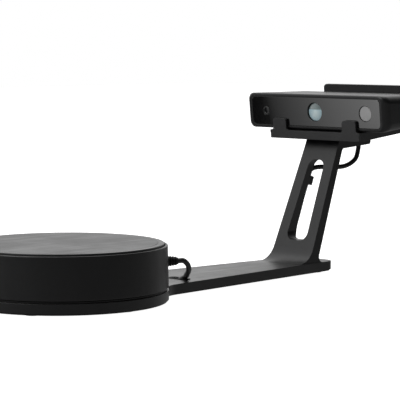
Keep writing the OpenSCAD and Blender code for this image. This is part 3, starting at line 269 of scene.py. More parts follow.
def finish(name, colour, rough, pattern=None, grain=PLAIN_GRAIN, edge=PLAIN_EDGE, dust=PLAIN_DUST, **plain):
    """A finish with grain, rubbed edges, marks and dust. pattern(tree, colour) may vary the colour.

    rough holds the roughness of clean and of handled places, grain its scale and depth, and edge the
    radius and the amount of the rubbed edges.
    """
    material = bpy.data.materials.new(name)
    material.use_nodes = True
    tree = material.node_tree
    tree.nodes.clear()
    surface = add(tree, "BsdfPrincipled", plain)
    fine = placed_group(tree, GRAIN, Scale=grain[0])
    edges = placed_group(tree, EDGES, Radius=edge[0], Amount=edge[1])
    hands = placed_group(tree, HANDLING, Dust=dust)
    base, height = (toned(colour), None) if pattern is None else pattern(tree, colour)
    tone = maths(tree, "MULTIPLY", fine["Tone"], GRAIN_TONE)
    lighter = mixed(tree, tone, base, toned(colour, GRAIN_LIGHT))
    worn = mixed(tree, edges["Mask"], lighter, toned(colour, *RUBBED))
    feed(tree, surface.inputs["Base Color"], mixed(tree, hands["Dust"], worn, DUST))
    dulled = spread(tree, hands["Marks"], *MARK_RANGE, *rough)
    dusty = maths(tree, "MULTIPLY_ADD", hands["Dust"], DUST_DULL, dulled, clamp=True)
    feed(tree, surface.inputs["Roughness"], dusty)
    bump = add(tree, "Bump", {"Distance": grain[1], "Normal": edges["Normal"]})
    feed(tree, bump.inputs["Height"], fine["Height"] if height is None else height(fine["Height"]))
    feed(tree, surface.inputs["Normal"], bump.outputs[0])
    add(tree, "OutputMaterial", {"Surface": surface.outputs[0]})
    return material


# ---- Patterns of single finishes ------------------------------------------------------------------

# The projector lens's painted light: the colours of its painted glow and its painted shade, where the
# painted glow's middle lies from the lens's middle, how far the glow reaches, and from which height above
# the middle the painted shade of the housing starts
PAINTED_GLOW_PALE = (0.80, 0.95, 0.98, 1)
PAINTED_SHADE_GREY = (0.035, 0.036, 0.038, 1)
PAINTED_GLOW_ASIDE = 0.001
PAINTED_GLOW_LOW = 0.002
PAINTED_GLOW_REACH = (0.001, 0.009)
PAINTED_SHADE_RISE = 0.003
PAINTED_SHADE_SOFT = 0.0005

TRACK_COPPER = (0.05, 0.26, 0.10, 1)
TRACK_SCALE = 260.0
TRACK_RANGE = (0.02, 0.05)
BRUSH_STRETCH = (60.0, 1400.0, 1400.0)
DRAWN_DARK = 0.7


def distance_from_axis(tree):
    centred = add(tree, "Mapping", {"Vector": object_place(tree), "Location": (-AXIS_X, 0, 0)}).outputs[0]
    flat = add(tree, "VectorMath", {0: centred, 1: (1, 1, 0)}, operation="MULTIPLY").outputs[0]
    return add(tree, "VectorMath", {0: flat}, operation="LENGTH").outputs["Value"]


def ringed(pitch, depth):
    """Fine rings round the turntable's axis, as a lathe or a mould leaves them."""

    def pattern(tree, colour):
        phase = maths(tree, "MULTIPLY", distance_from_axis(tree), 2 * pi / pitch)
        wave = maths(tree, "MULTIPLY_ADD", maths(tree, "SINE", phase), 0.5, 0.5)
        return toned(colour), lambda fine: maths(tree, "MULTIPLY_ADD", wave, depth, fine)

    return pattern


def circuit(tree, colour):
    """Copper tracks under the green mask of a circuit board."""
    values = {"Vector": object_place(tree), "Scale": TRACK_SCALE}
    cells = add(tree, "TexVoronoi", values, feature="DISTANCE_TO_EDGE", distance="MANHATTAN")
    tracks = spread(tree, cells.outputs["Distance"], *TRACK_RANGE, 1.0, 0.0)
    return mixed(tree, tracks, toned(colour), TRACK_COPPER), None


def painted_glow_and_shade(tree, colour):
    """A lens over its lamp, with painted light in its colour: a painted glow, pale and brightest in the
    middle, and painted shade, grey where the housing shades it.
    """
    place = object_place(tree)
    # The middle of the painted glow, a little aside and below the lens's middle
    lamp_or_painted_glow_middle = in_head(0, -PAINTED_GLOW_ASIDE, HEAD_H / 2 - PAINTED_GLOW_LOW)
    off = add(tree, "VectorMath", {0: place, 1: lamp_or_painted_glow_middle}, operation="DISTANCE").outputs["Value"]
    # Painted glow: the colour turns pale towards its middle
    glow = mixed(tree, spread(tree, off, *PAINTED_GLOW_REACH, 1.0, 0.0), toned(colour), PAINTED_GLOW_PALE)
    # Painted shade: above this height the colour is painted grey, where the housing shades the lens
    painted_shade_height = in_head(0, 0, HEAD_H / 2).z + PAINTED_SHADE_RISE
    painted_shade_mask = spread(tree, upward(tree, place), painted_shade_height - PAINTED_SHADE_SOFT, painted_shade_height + PAINTED_SHADE_SOFT)
    return mixed(tree, painted_shade_mask, glow, PAINTED_SHADE_GREY), None


def brushed(tree, colour):
    """Drawn lines of rolled or turned metal."""
    lines = add(tree, "Mapping", {"Vector": object_place(tree), "Scale": BRUSH_STRETCH}).outputs[0]
    drawn = noise(tree, lines, 1.0)
    base = mixed(tree, drawn, toned(colour, DRAWN_DARK), toned(colour))
    return base, lambda fine: maths(tree, "ADD", drawn, fine)


# ---- Finishes of the solids' slots ----------------------------------------------------------------

MOULDED = (2200.0, 0.00002)
CLEAR = (500.0, 0.000001)
FINE_EDGE = (0.0002, 0.2)
SOFT_EDGE = (0.0002, 0.1)
METAL = {"pattern": brushed, "Metallic": 1.0}

FINISHES = {
    "black_cast": finish("cast_paint", (0.0080, 0.0081, 0.0086), (0.28, 0.38), grain=(1300.0, 0.00004)),
    "black_sheet": finish("sheet_paint", (0.0220, 0.0221, 0.0228), (0.28, 0.36), grain=(1700.0, 0.00003)),
    "black_steel": finish("cover_paint", (0.0090, 0.0090, 0.0095), (0.42, 0.52), grain=(1500.0, 0.00003)),
    "drum_plastic": finish("drum_moulding", (0.0070, 0.0071, 0.0075), (0.32, 0.40), grain=MOULDED),
    "head_plastic": finish("head_moulding", (0.0075, 0.0076, 0.0082), (0.30, 0.38), grain=MOULDED),
    "rubber": finish(
        "black_rubber", (0.0080, 0.0080, 0.0082), (0.55, 0.70), grain=(900.0, 0.00005), edge=(0.0003, 0.1)
    ),
    "cable_jacket": finish("cable_jacket", (0.0180, 0.0182, 0.0188), (0.34, 0.44), grain=(2400.0, 0.00002)),
    "clip_plastic": finish("clip_moulding", (0.0130, 0.0130, 0.0135), (0.38, 0.46)),
    "steel": finish("bright_steel", (0.56, 0.56, 0.55), (0.22, 0.34), edge=FINE_EDGE, dust=0.0, **METAL),
    "frame_metal": finish(
        "zinc_plate", (0.50, 0.51, 0.50), (0.30, 0.44), edge=(0.0003, 0.3), dust=0.02, **METAL
    ),
    "gear_plastic": finish("gear_nylon", (0.72, 0.70, 0.62), (0.34, 0.46), edge=SOFT_EDGE, dust=0.02),
    "brass": finish("turned_brass", (0.70, 0.50, 0.22), (0.22, 0.34), edge=FINE_EDGE, dust=0.0, **METAL),
    "turntable_paint": finish(
        "turntable_paint", (0.0180, 0.0182, 0.0190), (0.30, 0.38), ringed(0.0012, 0.6), (1600.0, 0.00002)
    ),
    "turntable_mat": finish(
        "turntable_mat", (0.0200, 0.0202, 0.0210), (0.34, 0.44), ringed(0.0020, 0.9), (1200.0, 0.00003)
    ),
    "motor_black": finish("motor_case", (0.0200, 0.0200, 0.0205), (0.40, 0.52)),
    "board_green": finish("circuit_board", (0.012, 0.110, 0.045), (0.28, 0.40), circuit, edge=FINE_EDGE),
    "window_gloss": finish(
        "dark_window", (0.0030, 0.0031, 0.0034), (0.05, 0.10), grain=(400.0, 0.000001),
        edge=(0.0004, 0.1), dust=0.01, **{"Specular IOR Level": 1.0},
    ),
    # Pale cyan glass whose colour holds a painted glow, brightest in the middle, and painted shade at its
    # top
    "projector_glass": finish(
        "projector_glass", (0.52, 0.74, 0.84), (0.10, 0.18), painted_glow_and_shade, CLEAR, dust=0.0,
        **{"Coat Weight": 1.0},
    ),
    "left_camera_glass": finish(
        "left_camera_glass", (0.0060, 0.0062, 0.0070), (0.06, 0.12), grain=CLEAR, dust=0.0
    ),
    "right_camera_glass": finish(
        "right_camera_glass", (0.43, 0.43, 0.43), (0.22, 0.32), grain=(500.0, 0.000002), dust=0.0
    ),
    "fan_plastic": finish("fan_moulding", (0.0120, 0.0120, 0.0125), (0.38, 0.50)),
    "jack_plastic": finish("jack_moulding", (0.0090, 0.0090, 0.0095), (0.30, 0.42)),
    "button_plastic": finish("button_moulding", (0.0260, 0.0262, 0.0275), (0.30, 0.40)),
    "light_lens": finish("light_lens", (0.42, 0.50, 0.60), (0.12, 0.20), grain=(600.0, 0.000001), dust=0.0),
}
BARREL = finish("lens_barrel", (0.0080, 0.0080, 0.0085), (0.30, 0.42), edge=(0.0003, 0.4), dust=0.0)
RING_GREY = finish("lens_edge", (0.030, 0.030, 0.031), (0.25, 0.35), edge=FINE_EDGE, dust=0.0)

for node in nodes.values():
    slots = node.data.materials
    for place in range(len(slots)):
        slots[place] = FINISHES[slots[place].name.split(".")[0]]


# ---- Mesh helpers ---------------------------------------------------------------------------------

# Points closer than MERGE are one, and a ring smaller than POINT_R is a point
MERGE = 0.0000015
POINT_R = 1e-7

# Faces that turn less than FLAT_WITHIN are joined, and edges from SHARP_FROM are eased
FLAT_WITHIN = radians(0.4)
SHARP_FROM = radians(30)
EASE_STEPS = 2


def turns(steps):
    """The angles of even steps round a circle."""
    return [2 * pi * k / steps for k in range(steps)]


def merged(node):
    """The node's mesh with its loose triangles joined."""
    mesh = bmesh.new()
    mesh.from_mesh(nodes[node].data)
    bmesh.ops.remove_doubles(mesh, verts=mesh.verts, dist=MERGE)
    return mesh


def applied(piece, modifier):
    """The piece's mesh with its modifier applied; the modifier goes."""
    ready = piece.evaluated_get(bpy.context.evaluated_depsgraph_get())
    data = bpy.data.meshes.new_from_object(ready)
    data.name = piece.name
    piece.modifiers.remove(modifier)
    return data


def settle(name, mesh, body, material, stands_for=(), sharp=40, level=False):
    """Turns a bmesh into a piece that rides on a body and stands for its nodes.

    Edges stay sharp from the angle sharp, in degrees; level keeps flat faces flat beside round ones.
    """
    data = bpy.data.meshes.new(name)
    mesh.to_mesh(data)
    mesh.free()
    data.shade_smooth()
    data.set_sharp_from_angle(angle=radians(sharp))
    data.materials.append(material)
    piece = linked(name, data)
    if level:
        even = piece.modifiers.new("even", "WEIGHTED_NORMAL")
        even.keep_sharp = True
        piece.data = applied(piece, even)
    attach(piece, body)
    if stands_for:
        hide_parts(*stands_for)
    return piece


def band(mesh, low, high, steps):
    """Faces between two rings of points; a ring of a single point closes the end."""
    for k in range(steps):
        corners = ((low, k), (low, k + 1), (high, k + 1), (high, k))
        face = list(dict.fromkeys(ring[turn % len(ring)] for ring, turn in corners))
        if len(face) > 2:
            mesh.faces.new(face)


def turned(profile, steps, place):
    """A closed shape turned round an axis. profile is (radius, height) points, place() puts them."""
    mesh = bmesh.new()
    rings = []
    for radius, height in profile:
        if radius < POINT_R:
            rings.append([mesh.verts.new(place(0, 0, height))])
        else:
            spots = [place(radius * cos(a), radius * sin(a), height) for a in turns(steps)]
            rings.append([mesh.verts.new(spot) for spot in spots])
    if len(rings[0]) > 1 and len(rings[-1]) > 1:
        rings.append(rings[0])
    for low, high in zip(rings, rings[1:]):
        band(mesh, low, high, steps)
    bmesh.ops.recalc_face_normals(mesh, faces=mesh.faces)
    return mesh


def lofted(rings, closed):
    """A skin over rings of as many points; closed joins the last to the first, or both ends are capped."""
    mesh = bmesh.new()
    loops = [[mesh.verts.new(point) for point in ring] for ring in rings]
    for low, high in zip(loops, loops[1:] + ([loops[0]] if closed else [])):
        band(mesh, low, high, len(low))
    if not closed:
        mesh.faces.new(loops[0])
        mesh.faces.new(loops[-1])
    bmesh.ops.recalc_face_normals(mesh, faces=mesh.faces)
    return mesh


def smooth_path(points, steps):
    """A smooth curve through the points."""
    path = []
    for i in range(len(points) - 1):
        before, start = points[max(i - 1, 0)], points[i]
        end, after = points[i + 1], points[min(i + 2, len(points) - 1)]
        for k in range(steps):
            t = k / steps
            pull = (end - before) * t + (2 * before - 5 * start + 4 * end - after) * t**2
            path.append(start + 0.5 * (pull + (3 * start - before - 3 * end + after) * t**3))
    return path + [points[-1]]


def tube(path, radius, sides):
    """A round closed tube along a path, without twist."""
    side = Vector((0, 0, 1))
    rings = []
    for i, point in enumerate(path):
        ahead = (path[min(i + 1, len(path) - 1)] - path[max(i - 1, 0)]).normalized()
        side = (side - side.dot(ahead) * ahead).normalized()
        across = ahead.cross(side)
        rings.append([point + radius * (cos(a) * side + sin(a) * across) for a in turns(sides)])
    return lofted(rings, False)


def eased(name, node, body, slot, width, clamp=False):
    """A node's solids with their sharp edges rounded, which stand for the node.

    clamp keeps the rounding within the shortest edges, where acute corners would make it shoot out.
    """
    mesh = merged(node)
    bmesh.ops.dissolve_limit(mesh, angle_limit=FLAT_WITHIN, verts=mesh.verts, edges=mesh.edges)
    whole = [edge for edge in mesh.edges if len(edge.link_faces) == 2]
    sharp = [edge for edge in whole if edge.calc_face_angle() > SHARP_FROM]
    bmesh.ops.bevel(
        mesh, geom=sharp, offset=width, offset_type="OFFSET", segments=EASE_STEPS, profile=0.5,
        affect="EDGES", clamp_overlap=clamp,
    )
    return settle(name, mesh, body, FINISHES[slot], [node], level=True)


# ---- Cable ----------------------------------------------------------------------------------------

# The column: its front's foot and lean, its thickness at the arm and at the platform, and the lean
# of its back, which the cable follows
COLUMN_X = 0.334
COLUMN_LEAN = radians(22.7)
COLUMN_FOOT_T = 0.0135
COLUMN_TOP_T = 0.0092
PLATFORM_Z = 0.1376
REAR_LEAN = atan2(tan(COLUMN_LEAN) + (COLUMN_TOP_T - COLUMN_FOOT_T) / (PLATFORM_Z - CAST_TOP), 1)

# The sleeve in the drum, the opening into the arm, the channel in it, its outlet, the clip and the plug
SLEEVE_TURN = radians(-27)
SLEEVE_RISE = 0.0245
INLET = (0.142, -0.020)
INLET_W = 0.026
RUN_Z = 0.006
OUTLET_X = 0.3622
CLIP_Y = 0.0197
CLIP_Z = 0.101
LEG_GAP = 0.0003
PLUG_U = 0.078
PLUG_Y = 0.002
CABLE_STEPS = 5
CABLE_SIDES = 20

# Points of the visible route, from the turntable's axis
FALL_TO_ARM = [
    (0.117, -0.057, 0.033), (0.121, -0.055, 0.028), (0.125, -0.050, 0.0235), (0.129, -0.044, 0.0205),
    (0.134, -0.038, 0.0188), (0.139, -0.034, 0.0176), (0.142, -0.028, 0.0149), (0.142, -0.022, 0.0118),
    (0.142, -0.016, 0.0088), (0.1425, -0.0105, 0.0066), (0.148, -0.006, RUN_Z),
]
RISE_TO_LEG = [
    (OUTLET_X - 0.005, CLIP_Y, 0.00595), (OUTLET_X - 0.0024, CLIP_Y, 0.0064),
    (OUTLET_X - 0.0003, CLIP_Y, 0.0082), (OUTLET_X, CLIP_Y, 0.0114), (OUTLET_X, CLIP_Y, 0.017),
    (OUTLET_X - 0.0004, CLIP_Y, 0.024), (OUTLET_X + 0.0002, CLIP_Y, 0.034),
]
LOOP_TO_HEAD = [
    (0.3918, CLIP_Y - 0.001, 0.1126), (0.398, CLIP_Y - 0.004, 0.1146), (0.408, CLIP_Y - 0.008, 0.1146),
    (0.420, 0.008, 0.114), (0.432, 0.005, 0.1145), (0.442, 0.0035, 0.1175), (0.4495, 0.002, 0.123),
]

# Stops on the way out of the sleeve, along the channel under the arm, up the leg, up to the plug as
# x from the plug and height, and along the plug
SLEEVE_STOPS = (0.0005, 0.015, 0.021)
CHANNEL_STOPS = (0.160, 0.180, 0.205, 0.230, 0.255, 0.280, 0.305, 0.330, 0.350)
LEG_STOPS = (0.048, 0.062, 0.076, 0.090, CLIP_Z - 0.006, CLIP_Z + 0.006)
RISE_TO_PLUG = ((-0.0014, 0.131), (0.0004, 0.141))
PLUG_STOPS = (-0.010, 0.0007)


def outlet_point(out):
    """A point on the cable's way out of the sleeve in the drum."""
    reach = RIM_R + out
    return from_axis(reach * cos(SLEEVE_TURN), reach * sin(SLEEVE_TURN), CAST_TOP + SLEEVE_RISE)


def channel_point(x):
    start = INLET[1] + INLET_W / 2
    return from_axis(x, start + (CLIP_Y - start) * (x - INLET[0]) / (OUTLET_X - INLET[0]), RUN_Z)


def leg_point(z):
    """A point up the back of the leg, which leans and grows thinner."""
    lean = COLUMN_X + (z - CAST_TOP) * tan(COLUMN_LEAN)
    thick = COLUMN_FOOT_T + (COLUMN_TOP_T - COLUMN_FOOT_T) * (z - CAST_TOP) / (PLATFORM_Z - CAST_TOP)
    return from_axis(lean + thick + (CABLE_R + LEG_GAP) / cos(REAR_LEAN), CLIP_Y, z)


def cable_points():
    plug = in_head(PLUG_U, PLUG_Y, 0)
    up = HEAD_TURN @ Vector((0, 0, 1))
    points = [outlet_point(out) for out in SLEEVE_STOPS]
    points += [from_axis(*p) for p in FALL_TO_ARM]
    points += [channel_point(x) for x in CHANNEL_STOPS]
    points += [from_axis(*p) for p in RISE_TO_LEG]
    points += [leg_point(z) for z in LEG_STOPS]
    points += [from_axis(*p) for p in LOOP_TO_HEAD]
    points += [Vector((plug.x + x, PLUG_Y, z)) for x, z in RISE_TO_PLUG]
    return points + [plug + out * up for out in PLUG_STOPS]


def make_cable():
    path = smooth_path(cable_points(), CABLE_STEPS)
    settle(
        "cable", tube(path, CABLE_R, CABLE_SIDES), "stand_and_head",
        FINISHES["cable_jacket"], ["head_cable"], sharp=60,
    )


# ---- Head -----------------------------------------------------------------------------------------

# The housing: half its width, its wall and its rear end. Its corners are rounded by PLAN_R as seen
# from above, by FACE_R as seen from the front and by FRONT_R at the very front, and its front edge by
# EDGE_R as seen from the side.
HEAD_HW = 0.105
HEAD_WALL = 0.0025
SEAM_U = 0.086
PLAN_R = 0.008
FACE_R = 0.009
FRONT_R = 0.0055
EDGE_R = 0.0022
CORNER_STEPS = 8
ROUND_STEPS = 10

# The window, its gap in the housing, and how far the ledge behind it stands in
WINDOW_W = 0.191
WINDOW_R = 0.005
WINDOW_EASE = 0.0004
SEAT_GAP = 0.0001
LEDGE = 0.0015


def head_top(u):
    return HEAD_H - u * tan(HEAD_TILT)


def section(u, hw, low, high, radius):
    """A ring of points: a rounded oblong across the head at one depth."""
    ring = []
    for y, w, start in ((hw, high, 0), (-hw, high, 90), (-hw, low, 180), (hw, low, 270)):
        middle_y = y - radius if y > 0 else y + radius
        middle_w = w - radius if w == high else w + radius
        for k in range(CORNER_STEPS + 1):
            turn = radians(start + 90 * k / CORNER_STEPS)
            ring.append(in_head(u, middle_y + radius * cos(turn), middle_w + radius * sin(turn)))
    return ring


def shell_section(u, inset=0.0):
    """The head's outline at one depth, drawn in towards the front, or the inside of its wall."""
    back = max(PLAN_R - u, 0)
    drawn_in = PLAN_R - sqrt(PLAN_R**2 - back**2)
    edge = max(EDGE_R - u, 0)
    thin = EDGE_R - sqrt(EDGE_R**2 - edge**2)
    radius = FRONT_R + (FACE_R - FRONT_R) * (1 - drawn_in / PLAN_R) - inset
    return section(u, HEAD_HW - drawn_in - inset, thin + inset, head_top(u) - thin - inset, radius)


def window_section(u, grow):
    low = (HEAD_H - WINDOW_H) / 2 - grow
    return section(u, WINDOW_W / 2 + grow, low, (HEAD_H + WINDOW_H) / 2 + grow, WINDOW_R + grow)


def round_depths(radius):
    """Depths of the steps of a quarter round, from the front."""
    return {radius * (1 - cos(radians(90 * k / ROUND_STEPS))) for k in range(ROUND_STEPS)}


def make_head_shell():
    """The head's housing, with a rounded front round the window and one wall all round."""
    depths = sorted(round_depths(PLAN_R) | round_depths(EDGE_R))
    outside = [shell_section(u) for u in depths + [PLAN_R, SEAM_U]]
    seat = WINDOW_T + SEAT_GAP
    inside = [shell_section(u, HEAD_WALL) for u in (SEAM_U, PLAN_R, seat + HEAD_WALL)]
    ledge = [window_section(seat + HEAD_WALL, -LEDGE), window_section(seat, -LEDGE)]
    rings = outside[::-1] + [window_section(0, SEAT_GAP), window_section(seat, SEAT_GAP)]
    mesh = lofted(rings + ledge[::-1] + inside[::-1], True)
    settle(
        "head_shell", mesh, "stand_and_head", FINISHES["head_plastic"], ["head_housing"],
        sharp=35, level=True,
    )


# ---- Window and lenses ----------------------------------------------------------------------------

# The left camera looks through a smaller hole than the right one
LEFT_R = 0.0050
HOLES = ((0, PROJECTOR_R), (-CAMERA_Y, CAMERA_R), (CAMERA_Y, LEFT_R))
HOLE_EASE = 0.00015
HOLE_STEPS = 64

# What a lens's glass is smaller than its hole, and the gaps outside and inside the ring between them
GLASS_GAP = 0.0005
RING_GAP = 0.00012
RING_FIT = 0.00005
RING_EASE = 0.0001
LENS_STEPS = 56
LEFT_RING_STEPS = 48

# A camera's box: where it starts, its depth, half its width, and its sides by their corners
CASE_U = 0.012
CASE_D = 0.016
CASE_HW = 0.012
CASE_SIDES = ((0, 1, 3, 2), (4, 6, 7, 5), (0, 4, 5, 1), (2, 3, 7, 6), (0, 2, 6, 4), (1, 5, 7, 3))

# Profile of the bright ring round the left camera's lens, as radius and depth
LEFT_RING = [
    (0.0033, 0.0004), (0.0036, 0.0002), (0.0043, 0.0002), (0.0046, 0.0004),
    (0.0046, 0.0010), (0.0033, 0.0010),
]


def optic_place(y):
    """Puts a shape that is turned round a lens's axis, with its height along the head's depth."""
    return lambda a, b, depth: in_head(depth, y + a, HEAD_H / 2 + b)


def dome(radius, edge, crown, steps=10):
    """Profile of a lens that is crowned towards the front, from its middle to its edge."""
    return [(radius * k / steps, edge - crown * (1 - (k / steps) ** 2)) for k in range(steps + 1)]


def make_window():
    """The dark window: a plate with an eased front edge, and a hole for each lens."""
    mesh = bmesh.new()
    layers = []
    for u, grow in ((0.0, -WINDOW_EASE), (WINDOW_EASE, 0.0), (WINDOW_T, 0.0)):
        layers.append([[mesh.verts.new(point) for point in window_section(u, grow)]])
    for y, radius in HOLES:
        place = optic_place(y)
        rims = ((radius + HOLE_EASE, 0.0), (radius, HOLE_EASE), (radius, WINDOW_T))
        for loops, (r, depth) in zip(layers, rims):
            spots = [place(r * cos(a), r * sin(a), depth) for a in turns(HOLE_STEPS)]
            loops.append([mesh.verts.new(spot) for spot in spots])
    for low, high in zip(layers, layers[1:]):
        for a, b in zip(low, high):
            band(mesh, a, b, len(a))
    for loops in (layers[0], layers[-1]):
        pairs = [pair for loop in loops for pair in zip(loop, loop[1:] + loop[:1])]
        edges = [mesh.edges.get(pair) for pair in pairs]
        bmesh.ops.triangle_fill(mesh, use_beauty=True, edges=edges)
    bmesh.ops.recalc_face_normals(mesh, faces=mesh.faces)
    settle(
        "dark_window", mesh, "stand_and_head", FINISHES["window_gloss"], ["front_window"],
        sharp=25,
    )


def make_projector_lens():
    """The projector's crowned glass, and the ring that holds it in the window.

    Depths are from the window's front.
    """
    glass_r = PROJECTOR_R - GLASS_GAP
    glass = dome(glass_r, 0.0020, 0.0018) + [(glass_r, 0.0048), (0, 0.0048)]
    settle(
        "projector_glass", turned(glass, HOLE_STEPS, optic_place(0)), "stand_and_head",
        FINISHES["projector_glass"], ["projector_lens"],
    )
    inner = glass_r + RING_FIT
    out = PROJECTOR_R - RING_GAP
    ring = [
        (inner, 0.0012), (inner + RING_EASE, 0.0007), (out - RING_EASE, 0.0007), (out, 0.0009),
        (out, 0.0050), (inner, 0.0050),
    ]
    mesh = turned(ring, HOLE_STEPS, optic_place(0))
    settle("projector_ring", mesh, "stand_and_head", BARREL)


def camera_case(mesh, y):
    """The camera's box behind the bench, added to a turned front."""
    corners = [
        mesh.verts.new(in_head(u, y + v, HEAD_H / 2 + w))
        for u in (CASE_U, CASE_U + CASE_D) for v in (-CASE_HW, CASE_HW) for w in (-CASE_HW, CASE_HW)
    ]
    faces = [mesh.faces.new([corners[k] for k in side]) for side in CASE_SIDES]
    bmesh.ops.recalc_face_normals(mesh, faces=faces)


def make_camera_unit(name, y, radius):
    """A camera behind the window: its glass, a fine rim, and its barrel and case.

    Depths are from the window's front.
    """
    slot = name + "_glass"
    glass_r = radius - GLASS_GAP
    disc = dome(glass_r, 0.0008, 0.0002, 4) + [(glass_r, 0.0024), (0, 0.0024)]
    settle(slot, turned(disc, LENS_STEPS, optic_place(y)), "stand_and_head", FINISHES[slot])
    inner = glass_r + RING_FIT
    rim = radius - RING_GAP
    behind = CAMERA_R - HOLE_EASE
    barrel = [
        (0, 0.0025), (inner, 0.0025), (inner, 0.0009), (inner + RING_EASE, 0.0005),
        (rim - RING_EASE, 0.0005), (rim, 0.0007), (rim, 0.0031), (behind, 0.0031),
        (behind, CASE_U), (0, CASE_U),
    ]
    mesh = turned(barrel, LENS_STEPS, optic_place(y))
    camera_case(mesh, y)
    settle(name + "_body", mesh, "stand_and_head", BARREL, [name])


def make_left_ring():
    """The bright edge of the left camera's lens, in front of its dark middle."""
    mesh = turned(LEFT_RING, LEFT_RING_STEPS, optic_place(CAMERA_Y))
    settle("left_camera_ring", mesh, "stand_and_head", RING_GREY)


# ---- Screws ---------------------------------------------------------------------------------------

DOWN = Vector((0, 0, -1))
REAR = HEAD_TURN @ Vector((1, 0, 0))
HEAD_SIDES = 32
SHANK_SIDES = 20
KEY_SIDES = 6
SCREW_INPUTS = {
    "Head Radius": 0.003, "Head Height": 0.0012, "Shank Radius": 0.0015, "Length": 0.008,
    "Key Radius": 0.0012, "Key Depth": 0.0008, "Chamfer": 0.0003, "Chamfer Height": 0.0003,
}
M3_HEAD = {"Head Radius": 0.0028, "Shank Radius": 0.00145, "Key Radius": 0.0012}
M4_HEAD = {
    "Head Radius": 0.0038, "Shank Radius": 0.00195, "Key Radius": 0.0016, "Head Height": 0.0024,
    "Key Depth": 0.0014,
}


def screw_inputs(tree):
    """The sockets of the screws' tree; gives the outputs that carry its inputs."""
    sockets = {"Points": "Geometry", **dict.fromkeys(SCREW_INPUTS, "Float")}
    sockets.update({"Turn": "Vector", "Finish": "Material"})
    for label, kind in sockets.items():
        socket = tree.interface.new_socket(label, in_out="INPUT", socket_type="NodeSocket" + kind)
        if label in SCREW_INPUTS:
            socket.default_value = SCREW_INPUTS[label]
    tree.interface.new_socket("Screws", in_out="OUTPUT", socket_type="NodeSocketGeometry")
    return tree.nodes.new("NodeGroupInput").outputs


def at_height(tree, mesh, z):
    place = add(tree, "CombineXYZ", {"Z": z}).outputs[0]
    return node_in(tree, "GeometryNodeTransform", {"Geometry": mesh, "Translation": place}).outputs[0]


def round_bar(tree, radius, height, sides):
    """A bar's mesh, and the selection of its top."""
    values = {"Radius": radius, "Depth": height, "Vertices": sides}
    cylinder = node_in(tree, "GeometryNodeMeshCylinder", values)
    return cylinder.outputs["Mesh"], cylinder.outputs["Top"]


def screw_head(tree, given):
    """A screw's head below the height 0, with an eased rim and a six-sided key hole."""
    low = maths(tree, "SUBTRACT", given["Head Height"], given["Chamfer Height"])
    head, top = round_bar(tree, given["Head Radius"], low, HEAD_SIDES)
    values = {"Mesh": head, "Selection": top, "Offset Scale": given["Chamfer Height"], "Individual": False}
    raised = node_in(tree, "GeometryNodeExtrudeMesh", values, mode="FACES").outputs
    share = maths(tree, "DIVIDE", given["Chamfer"], given["Head Radius"])
    narrow = maths(tree, "SUBTRACT", 1.0, share)
    values = {"Geometry": raised["Mesh"], "Selection": raised["Top"], "Scale": narrow}
    eased_head = node_in(tree, "GeometryNodeScaleElements", values, domain="FACE").outputs[0]
    middle = maths(tree, "SUBTRACT", maths(tree, "MULTIPLY", low, -0.5), given["Chamfer Height"])
    seated = at_height(tree, eased_head, middle)
    deep = maths(tree, "MULTIPLY", given["Key Depth"], 2.0)
    key = at_height(tree, round_bar(tree, given["Key Radius"], deep, KEY_SIDES)[0], 0.0)
    values = {"Mesh 1": seated, "Mesh 2": key}
    return node_in(tree, "GeometryNodeMeshBoolean", values, operation="DIFFERENCE").outputs[0]


def screw_shank(tree, given):
    behind = maths(tree, "SUBTRACT", given["Length"], given["Head Height"])
    shank = round_bar(tree, given["Shank Radius"], behind, SHANK_SIDES)[0]
    middle = maths(tree, "SUBTRACT", maths(tree, "MULTIPLY", behind, -0.5), given["Head Height"])
    return at_height(tree, shank, middle)


def screw_tree():
    """Screws on points, each with its head and a shank behind it, turned to face one way."""
    tree = bpy.data.node_groups.new("screws", "GeometryNodeTree")
    given = screw_inputs(tree)
    one = node_in(tree, "GeometryNodeJoinGeometry")
    tree.links.new(screw_shank(tree, given), one.inputs[0])
    tree.links.new(screw_head(tree, given), one.inputs[0])
    turn = node_in(tree, "FunctionNodeEulerToRotation", {0: given["Turn"]}).outputs[0]
    values = {"Points": given["Points"], "Instance": one.outputs[0], "Rotation": turn}
    spots = node_in(tree, "GeometryNodeInstanceOnPoints", values).outputs[0]
    real = node_in(tree, "GeometryNodeRealizeInstances", {"Geometry": spots}).outputs[0]
    values = {"Geometry": real, "Material": given["Finish"]}
    done = node_in(tree, "GeometryNodeSetMaterial", values).outputs[0]
    node_in(tree, "NodeGroupOutput", {0: done})
    return tree


SCREWS = screw_tree()


def loose_parts(mesh):
    """The separate solids of a mesh, each as a list of its points."""
    left = set(mesh.verts)
    while left:
        part, edge = set(), {left.pop()}
        while edge:
            part |= edge
            edge = {other for v in edge for link in v.link_edges for other in link.verts} - part
        left -= part
        yield [v.co.copy() for v in part]


def screw_spots(node, turn):
    """The middles of the heads' tops of a node's screws, and the screws' length."""
    mesh = merged(node)
    tops = []
    lengths = []
    for part in loose_parts(mesh):
        local = [turn.inverted() @ point for point in part]
        low = Vector([min(p[k] for p in local) for k in range(3)])
        high = Vector([max(p[k] for p in local) for k in range(3)])
        tops.append(turn @ Vector(((low.x + high.x) / 2, (low.y + high.y) / 2, high.z)))
        lengths.append(high.z - low.z)
    mesh.free()
    return sorted(tops, key=lambda p: (round(p.x, 5), p.y)), max(lengths)


